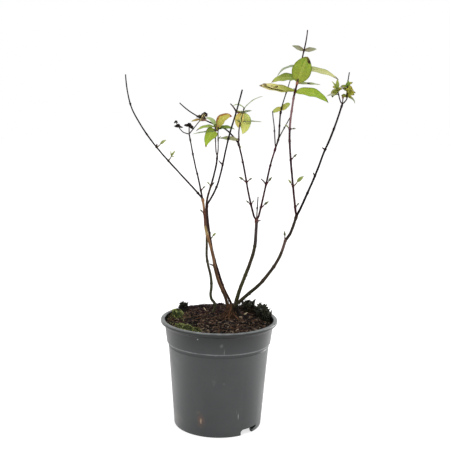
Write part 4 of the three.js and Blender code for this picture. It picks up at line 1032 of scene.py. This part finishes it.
def add_spikes(skin, patch, seed):
    """Withered leaves that stand out of a mound, each with small ragged lobes round it"""
    draw = seeded_numbers(seed + 120)
    look = LEAF_LOOKS["black_lobe"]
    count, scale, lift = patch.lobes
    for i in range(patch.spikes):
        bearing = i * 360 / patch.spikes + 40 * draw()
        root = patch_place(patch, 0.3 + 0.3 * draw(), radians(bearing))
        root.z += patch.height * 0.4
        length = patch.height * (0.95 + 0.45 * draw())
        blade = Blade(bearing, 52 + 30 * draw(), 30, 40, length, length * 0.5)
        add_leaf(skin, root, blade, look, seed + i)
        for lobe in range(count):
            share = 0.15 + 0.7 * draw()
            root = patch_place(patch, share, radians(bearing + 360 / patch.spikes * (draw() - 0.5)))
            root.z += patch.height * (1 - share * share) * 1.1
            blade = Blade(360 * draw(), lift + (85 - lift) * draw(), 70 * draw(), 60 * draw(),
                          scale * (4 + 5 * draw()), scale * (2.6 + 2.6 * draw()))
            add_leaf(skin, root, blade, look, seed + i + lobe)


def build_patches():
    for seed, (name, patch) in enumerate(PATCHES.items(), 11):
        skin = Skin()
        area = patch.half_x * patch.half_y
        if patch.spikes:
            add_mound(skin, patch, ("10110c", "181911", "211e16"), seed)
            add_tufts(skin, patch, int(area * 6), 2.1, DARK_GREENS, seed + 40)
            flakes = BROWN_FLAKES if name == "moss_hump" else FLAKES
            add_flakes(skin, patch, int(area * 1.6), 3.2, flakes, seed + 80)
            add_spikes(skin, patch, seed)
        else:
            add_mound(skin, patch, ("1c2412", "29331a", "34401e"), seed)
            add_tufts(skin, patch, int(area * 13), 2.1, GREENS, seed + 40)
        skin.object(f"{name}_cover", "litter" if patch.spikes else "moss", [name])


# Root crown

def build_crown():
    skin = Skin()
    levels, sides = 40, 56
    profile = [(0, 1), (0.1, 0.93), (0.28, 0.8), (0.5, 0.7), (0.72, 0.62), (0.9, 0.47), (1, 0.2)]
    foot = SOIL.crown_height + 0.3
    rings = []
    for rise in shares(levels + 1):
        def reach(angle):
            x, y = polar(1, angle)
            knob = 1 + 0.09 * sin(3 * angle + rise * 3) + 0.05 * cos(5 * angle - rise * 6)
            bark = 0.16 * grain(3.4 * x, 3.4 * y, rise * 2.2) + 0.07 * grain(9 * x, 9 * y, rise * 4)
            return value_at(profile, rise) * (knob + bark)

        centre = Vector((CROWN.x, CROWN.y, foot + rise * CROWN.height))
        rings.append(ring_round(centre, Vector((CROWN.width / 2, 0, 0)), Vector((0, CROWN.depth / 2, 0)),
                                sides, reach))

    def look_at(i, j):
        angle = j * 2 * pi / sides
        streak = grain(*polar(4, angle), i * 0.06)
        rust = 0.5 - 0.5 * cos(angle) + 0.25 * cos(angle * 3)
        base = screen("1c1a12").lerp(screen("6e4c32"), clamp(rust + 0.8 * streak))
        return tinted("bark", base * (0.85 + 0.5 * max(0, streak)))

    add_rings(skin, rings, look_at)
    for x, y, height, lean, swing in ((21, 8, 14, 12, -6), (15, 17, 12, -14, 8), (29, 14, 16, 22, 4)):
        stub = Limb((), height, swing, (0.6, 0.35), ((0, lean), (height, lean * 0.4)), (),
                    bark=LIMBS["snag_d"].bark)
        add_limb(skin, stub, Vector((x, y, foot + CROWN.height * 0.7)), 3)
    skin.object("crown_bark", "old_bark", ["root_crown"])


# Pot

def pot_profile():
    """Radius and height from the middle of the underside, up the outside and down to the floor inside"""
    p = POT
    lip, mouth, top = p.lip_radius, p.mouth_radius, p.band_top_radius
    lip_bottom = p.height - p.lip_thickness
    slope = lip_bottom - p.lip_slope
    band, rise = p.band_foot_radius, p.band_foot_height
    step = band - p.step_depth
    inner_step = step - p.wall
    inner_base = p.base_radius - p.wall
    gutter_top = p.gutter_height + p.floor_thickness
    return [
        (0, 0), (p.pad_radius, 0), (p.pad_radius + 0.6, 0.5), (p.gutter_inner, p.gutter_height),
        (p.gutter_outer, p.gutter_height), (p.foot_ring_inner - 0.3, 0.5), (p.foot_ring_inner, 0),
        (p.base_radius - 0.9, 0), (p.base_radius - 0.3, 0.3), (p.base_radius, 1),
        (step - 0.35, rise - 6.2), (step + 0.05, rise - 5.8), (step + 0.05, rise - 5.2),
        (step - 0.25, rise - 4.8), (step, rise - 1.5), (step + 0.5, rise - 1), (band - 0.5, rise - 0.5),
        (band, rise), (band + 0.1, rise + 0.8), (top - 0.1, slope - 0.8), (top + 0.5, slope + 0.2),
        (lip - 1, lip_bottom - 0.2),
        (lip - 0.3, lip_bottom + 0.3), (lip, lip_bottom + 1), (lip, p.height - 1),
        (lip - 0.3, p.height - 0.3), (lip - 1, p.height), (mouth + 0.9, p.height),
        (mouth + 0.3, p.height - 0.2), (mouth, p.height - 0.8), (top - p.wall, slope - 1),
        (inner_step + p.step_depth, rise + 1.2), (inner_step, rise - 3),
        (inner_base, gutter_top + 1), (inner_base - 1.2, gutter_top), (p.gutter_inner - 1.4, gutter_top),
        (p.pad_radius - 1.4, p.floor_thickness), (0, p.floor_thickness),
    ]


def mixed_in(tree, colour, amount, mark):
    """The node colour with a mark's colour over it, by an amount from 0 to 1"""
    inputs = {"Factor": amount, "A": colour, "B": (*mark, 1)}
    return add_node(tree, "Mix", "Result", inputs, data_type="RGBA")


# Dried water, soil and scuffs on the pot: centre, half sizes, colour and strength

POT_MARKS = (
    ((-23.5, -60, 25), (6, 10, 12), (0.085, 0.042, 0.027), 0.75),
    ((-23.5, -60, 24), (1.4, 10, 5), (0.3, 0.22, 0.14), 0.8),
    ((-28, -58, 36), (3, 9, 5), (0.07, 0.06, 0.04), 0.5),
    ((29.5, -58, 31), (0.7, 9, 6.5), (0.3, 0.32, 0.32), 0.65),
    ((27, -58, 38), (0.5, 9, 5), (0.12, 0.13, 0.13), 0.5),
    ((-29, -73, 147), (1.0, 9, 1.0), (0.4, 0.42, 0.4), 0.7),
    ((4, -75, 139), (2.6, 9, 3.2), (0.16, 0.17, 0.17), 0.45),
    ((8, -75, 130), (0.8, 9, 5), (0.16, 0.17, 0.17), 0.5),
    ((-3, -72, 124), (2.6, 9, 1.4), (0.16, 0.17, 0.17), 0.5),
    ((8, -66, 82), (2.4, 9, 2), (0.11, 0.12, 0.12), 0.4),
    ((-6, -66, 84), (3.5, 9, 6), (0.085, 0.09, 0.09), 0.4),
    ((-56, -30, 18), (9, 14, 9), (0.1, 0.09, 0.065), 0.35),
    ((30, 56, 60), (5, 9, 12), (0.08, 0.07, 0.05), 0.4),
    ((-40, 50, 30), (6, 9, 9), (0.085, 0.06, 0.04), 0.4),
)


def pot_material():
    """Dark grey moulded plastic with a faint grain, scuffs and dried water marks, painted shade on the
    band under the lip and painted highlight lines along the foot of the band and the top of the lip
    """
    material, tree, shader, coordinates = new_material("pot_plastic")
    cloud = noise_node(tree, coordinates, 22, 5, 0.6)
    colour = ramp_node(tree, cloud, (0.3, (0.022, 0.0245, 0.0255)), (0.75, (0.035, 0.038, 0.0385)))
    height = add_node(tree, "SeparateXYZ", "Z", {"Vector": coordinates})
    # Painted shade: the band under the lip gets darker towards the lip, standing in for the shadow of the
    # lip's overhang
    shade = range_node(tree, height, 0.127, 0.148, 0, 0.9)
    colour = mixed_in(tree, colour, shade, (0.004, 0.0045, 0.0045))
    # Painted highlight: light lines along the foot of the band and the top edge of the lip, broken up by
    # noise
    for middle, half in ((0.1252, 0.0010), (0.1577, 0.0008)):
        near = add_node(tree, "Math", "Value", {0: height, 1: middle, 2: half}, operation="COMPARE")
        highlight_breakup = range_node(tree, noise_node(tree, coordinates, 90, 3), 0.3, 0.6, 0.35, 0.9)
        edge_highlight = add_node(tree, "Math", "Value", {0: near, 1: highlight_breakup}, operation="MULTIPLY")
        colour = mixed_in(tree, colour, edge_highlight, (0.14, 0.15, 0.15))
    for centre, size, mark, strength in POT_MARKS:
        place = add_node(tree, "Mapping", "Vector", {
            "Vector": coordinates, "Location": [c * MM for c in centre], "Scale": [s * MM for s in size],
        }, vector_type="TEXTURE")
        gap = add_node(tree, "VectorMath", "Value", {0: place}, operation="LENGTH")
        frays = noise_node(tree, coordinates, 260, 4)
        ragged = add_node(tree, "Math", "Value", {0: frays, 1: 1.6, 2: gap}, operation="MULTIPLY_ADD")
        colour = mixed_in(tree, colour, range_node(tree, ragged, 0.9, 1.95, strength, 0), mark)
    set_inputs(tree, shader, {
        "Base Color": colour,
        "Roughness": range_node(tree, cloud, 0.3, 0.7, 0.3, 0.42),
        "Specular IOR Level": 0.42,
        "Normal": bump_node(tree, noise_node(tree, coordinates, 900, 3), 0.12, 0.0003),
    })
    return material


def notch_cutter(bearing):
    half = NOTCH.width / 2
    tooth = half - NOTCH.tooth_width
    tall = NOTCH.height
    outline = [(-half + 0.8, -1), (tooth, -1), (tooth, tall * 0.45), (half, tall * 0.8),
               (half - 0.4, tall), (-half + 0.8, tall), (-half, tall - 0.8)]
    turn = Matrix.Rotation(radians(bearing), 3, "Z")
    points = [turn @ Vector((x, y, z))
              for x in (POT.gutter_outer, POT.base_radius + 6) for y, z in outline]
    count = len(outline)
    faces = [list(range(count)), [count + i for i in reversed(range(count))]]
    faces += [[i, count + i, count + (i + 1) % count, (i + 1) % count] for i in range(count)]
    return new_solid("notch", points, faces)


def build_pot():
    skin = Skin()
    look = pot_material()
    rings = [[Vector((*polar(radius, angle), height)) for angle in turns(POT.sides)]
             for radius, height in pot_profile()[1:-1]]
    add_rings(skin, rings, lambda i, j: look)
    pot = skin.object("nursery_pot", "pot_plastic", ["pot"])
    cutters = [notch_cutter(NOTCH.first_bearing + i * 360 / NOTCH.count) for i in range(NOTCH.count)]
    for cutter in cutters:
        cut = pot.modifiers.new("cut", "BOOLEAN")
        cut.operation = "DIFFERENCE"
        cut.solver = "EXACT"
        cut.object = cutter
    graph = bpy.context.evaluated_depsgraph_get()
    whole = bpy.data.meshes.new_from_object(pot.evaluated_get(graph))
    pot.modifiers.clear()
    pot.data = whole
    for cutter in cutters:
        bpy.data.objects.remove(cutter)
    whole.materials.clear()
    whole.materials.append(look)
    whole.set_sharp_from_angle(angle=radians(50))


# The plant

def slot_of(name):
    if name == "stem_b":
        return "peeling_bark"
    return {"stem": "old_bark", "snag": "dead_wood"}.get(name.split("_")[0], "young_bark")


def build_limbs():
    """Builds every limb and returns where each one starts"""
    starts = {}
    parents = {limb.origin[0] for limb in LIMBS.values()}
    shoots = Skin()
    seed = 200
    for name, limb in LIMBS.items():
        parent, *distance = limb.origin
        if parent in LIMBS:
            distance = distance[0] if distance else LIMBS[parent].length
            start = point_along(LIMBS[parent], starts[parent], distance)
        else:
            start = Vector(limb.origin)
        skin = Skin()
        add_limb(skin, limb, start, seed, name in parents, 0.6 if limb.radii[0] < 1.2 else 1.0)
        draw = seeded_numbers(seed)
        for i, at in enumerate(limb.nodes):
            if at > limb.length - 4:
                continue
            for side in (0, pi):
                turn = side + (pi / 2 if i % 2 else 0) + 0.5 * (draw() - 0.5)
                add_bud(skin, limb, start, at, turn, 1.3 + 0.9 * draw())
        for shoot in limb.shoots:
            add_shoot(shoots, limb, start, shoot, seed)
            seed += 5
        skin.object(f"{name}_bark", slot_of(name), [name])
        starts[name] = start
        seed += 1
    shoots.object("young_shoots", "leaf")
    return starts


def build_masses(starts):
    for seed, (name, mass) in enumerate(MASSES.items(), 16):
        draw = seeded_numbers(seed)
        finer = seeded_numbers(seed + 900)
        start = point_along(LIMBS[mass.origin], starts[mass.origin], LIMBS[mass.origin].length)
        bark, blades, heads = Skin(), Skin(), Skin()
        twigs = []
        for number, row in enumerate(mass.twigs):
            joints = sorted({leaf[1] for leaf in mass.leaves if leaf[0] == number})
            twigs.append(Limb((), *row, joints, bark=mass.bark))
            add_limb(bark, twigs[-1], start, seed, relief=0.6)
        for number, (twig, at, *sizes, look) in enumerate(mass.leaves + mass.small):
            blade = Blade(*sizes)
            if number < len(mass.leaves):
                blade = blade._replace(heading=blade.heading + 4 * (draw() - 0.5))
            root = point_along(twigs[twig], start, at)
            add_leaf(blades, root, blade, LEAF_LOOKS[look], seed + number * 1.7)
            if blade.length > 12:
                small = Blade(blade.heading + 24 * (finer() - 0.5), 45 + 30 * finer(), 20, 30,
                              3 + 3.5 * finer(), 2)
                add_leaf(blades, root, small, LEAF_LOOKS["young"], seed + number)
        for twig, at, size in mass.heads:
            root = point_along(twigs[twig], start, at - 0.4)
            add_head(heads, root, limb_direction(twigs[twig], at), size, draw, seed + 60)
        if mass.heads:
            heads.object(f"{name}_capsules", "seed_head", [name])
        blades.object(f"{name}_blades", "leaf", () if mass.heads else [name])
        bark.object(f"{name}_twigs", "young_bark")


# Floor, light and camera

def build_stage():
    material, tree, shader, coordinates = new_material("studio_floor")
    set_inputs(tree, shader, {
        "Base Color": (0.5, 0.5, 0.5, 1),
        "Roughness": 0.7,
        "Specular IOR Level": 0.2,
        "Emission Color": (1, 1, 1, 1),
        "Emission Strength": 0.68,
        "Normal": bump_node(tree, noise_node(tree, coordinates, 40, 2), 0.02, 0.001),
    })
    count, radius = 96, 9
    mesh = bpy.data.meshes.new("floor")
    rim = [(*polar(radius, angle), -0.0002) for angle in turns(count)]
    mesh.from_pydata(rim, [], [list(range(count))])
    mesh.materials.append(material)
    new_object("floor", mesh)


PHOTO_WIDTH = 450
CAMERA_PLACE = (0, -1.143, 0.468)
CAMERA_PITCH = 0.149
CAMERA_ROLL = 0.017

# Lamps: name, place, what it points at, size and power

LAMPS = (
    ("key", (-0.9, -1.2, 1.7), (0, 0, 0.25), (1.2, 1.2), 7),
    ("top", (0.3, 0.2, 2.2), (0, 0, 0.2), (1.6, 1.6), 9),
    ("right", (0.8, 0.5, 0.26), (0, 0, 0.08), (0.3, 0.5), 4.5),
)


def build_light_and_camera():
    scene = bpy.context.scene
    scene.world = bpy.data.worlds.new("studio")
    scene.world.use_nodes = True
    tree = scene.world.node_tree
    set_inputs(tree, tree.nodes["Background"], {"Color": (1, 1, 1, 1), "Strength": 1.0})
    for name, place, target, size, power in LAMPS:
        data = bpy.data.lights.new(name, "AREA")
        data.shape = "RECTANGLE"
        data.size, data.size_y = size
        data.energy = power
        lamp = new_object(name, data)
        lamp.location = place
        lamp.rotation_euler = (Vector(target) - Vector(place)).to_track_quat("-Z", "Y").to_euler()
        lamp.visible_camera = False
    scene.view_settings.view_transform = "Standard"
    scene.view_settings.look = "None"
    camera = bpy.data.cameras.new("camera")
    camera.sensor_width = 36
    camera.lens = 64
    camera.shift_x = 4.3 / PHOTO_WIDTH
    camera.clip_end = 50
    scene.camera = new_object("camera", camera)
    aim = Matrix.Rotation(pi / 2 - CAMERA_PITCH, 4, "X") @ Matrix.Rotation(CAMERA_ROLL, 4, "Z")
    scene.camera.matrix_world = Matrix.Translation(CAMERA_PLACE) @ aim


build_light_and_camera()
build_stage()
build_pot()
build_soil()
build_crumbs()
build_strands()
build_patches()
build_crown()
build_masses(build_limbs())
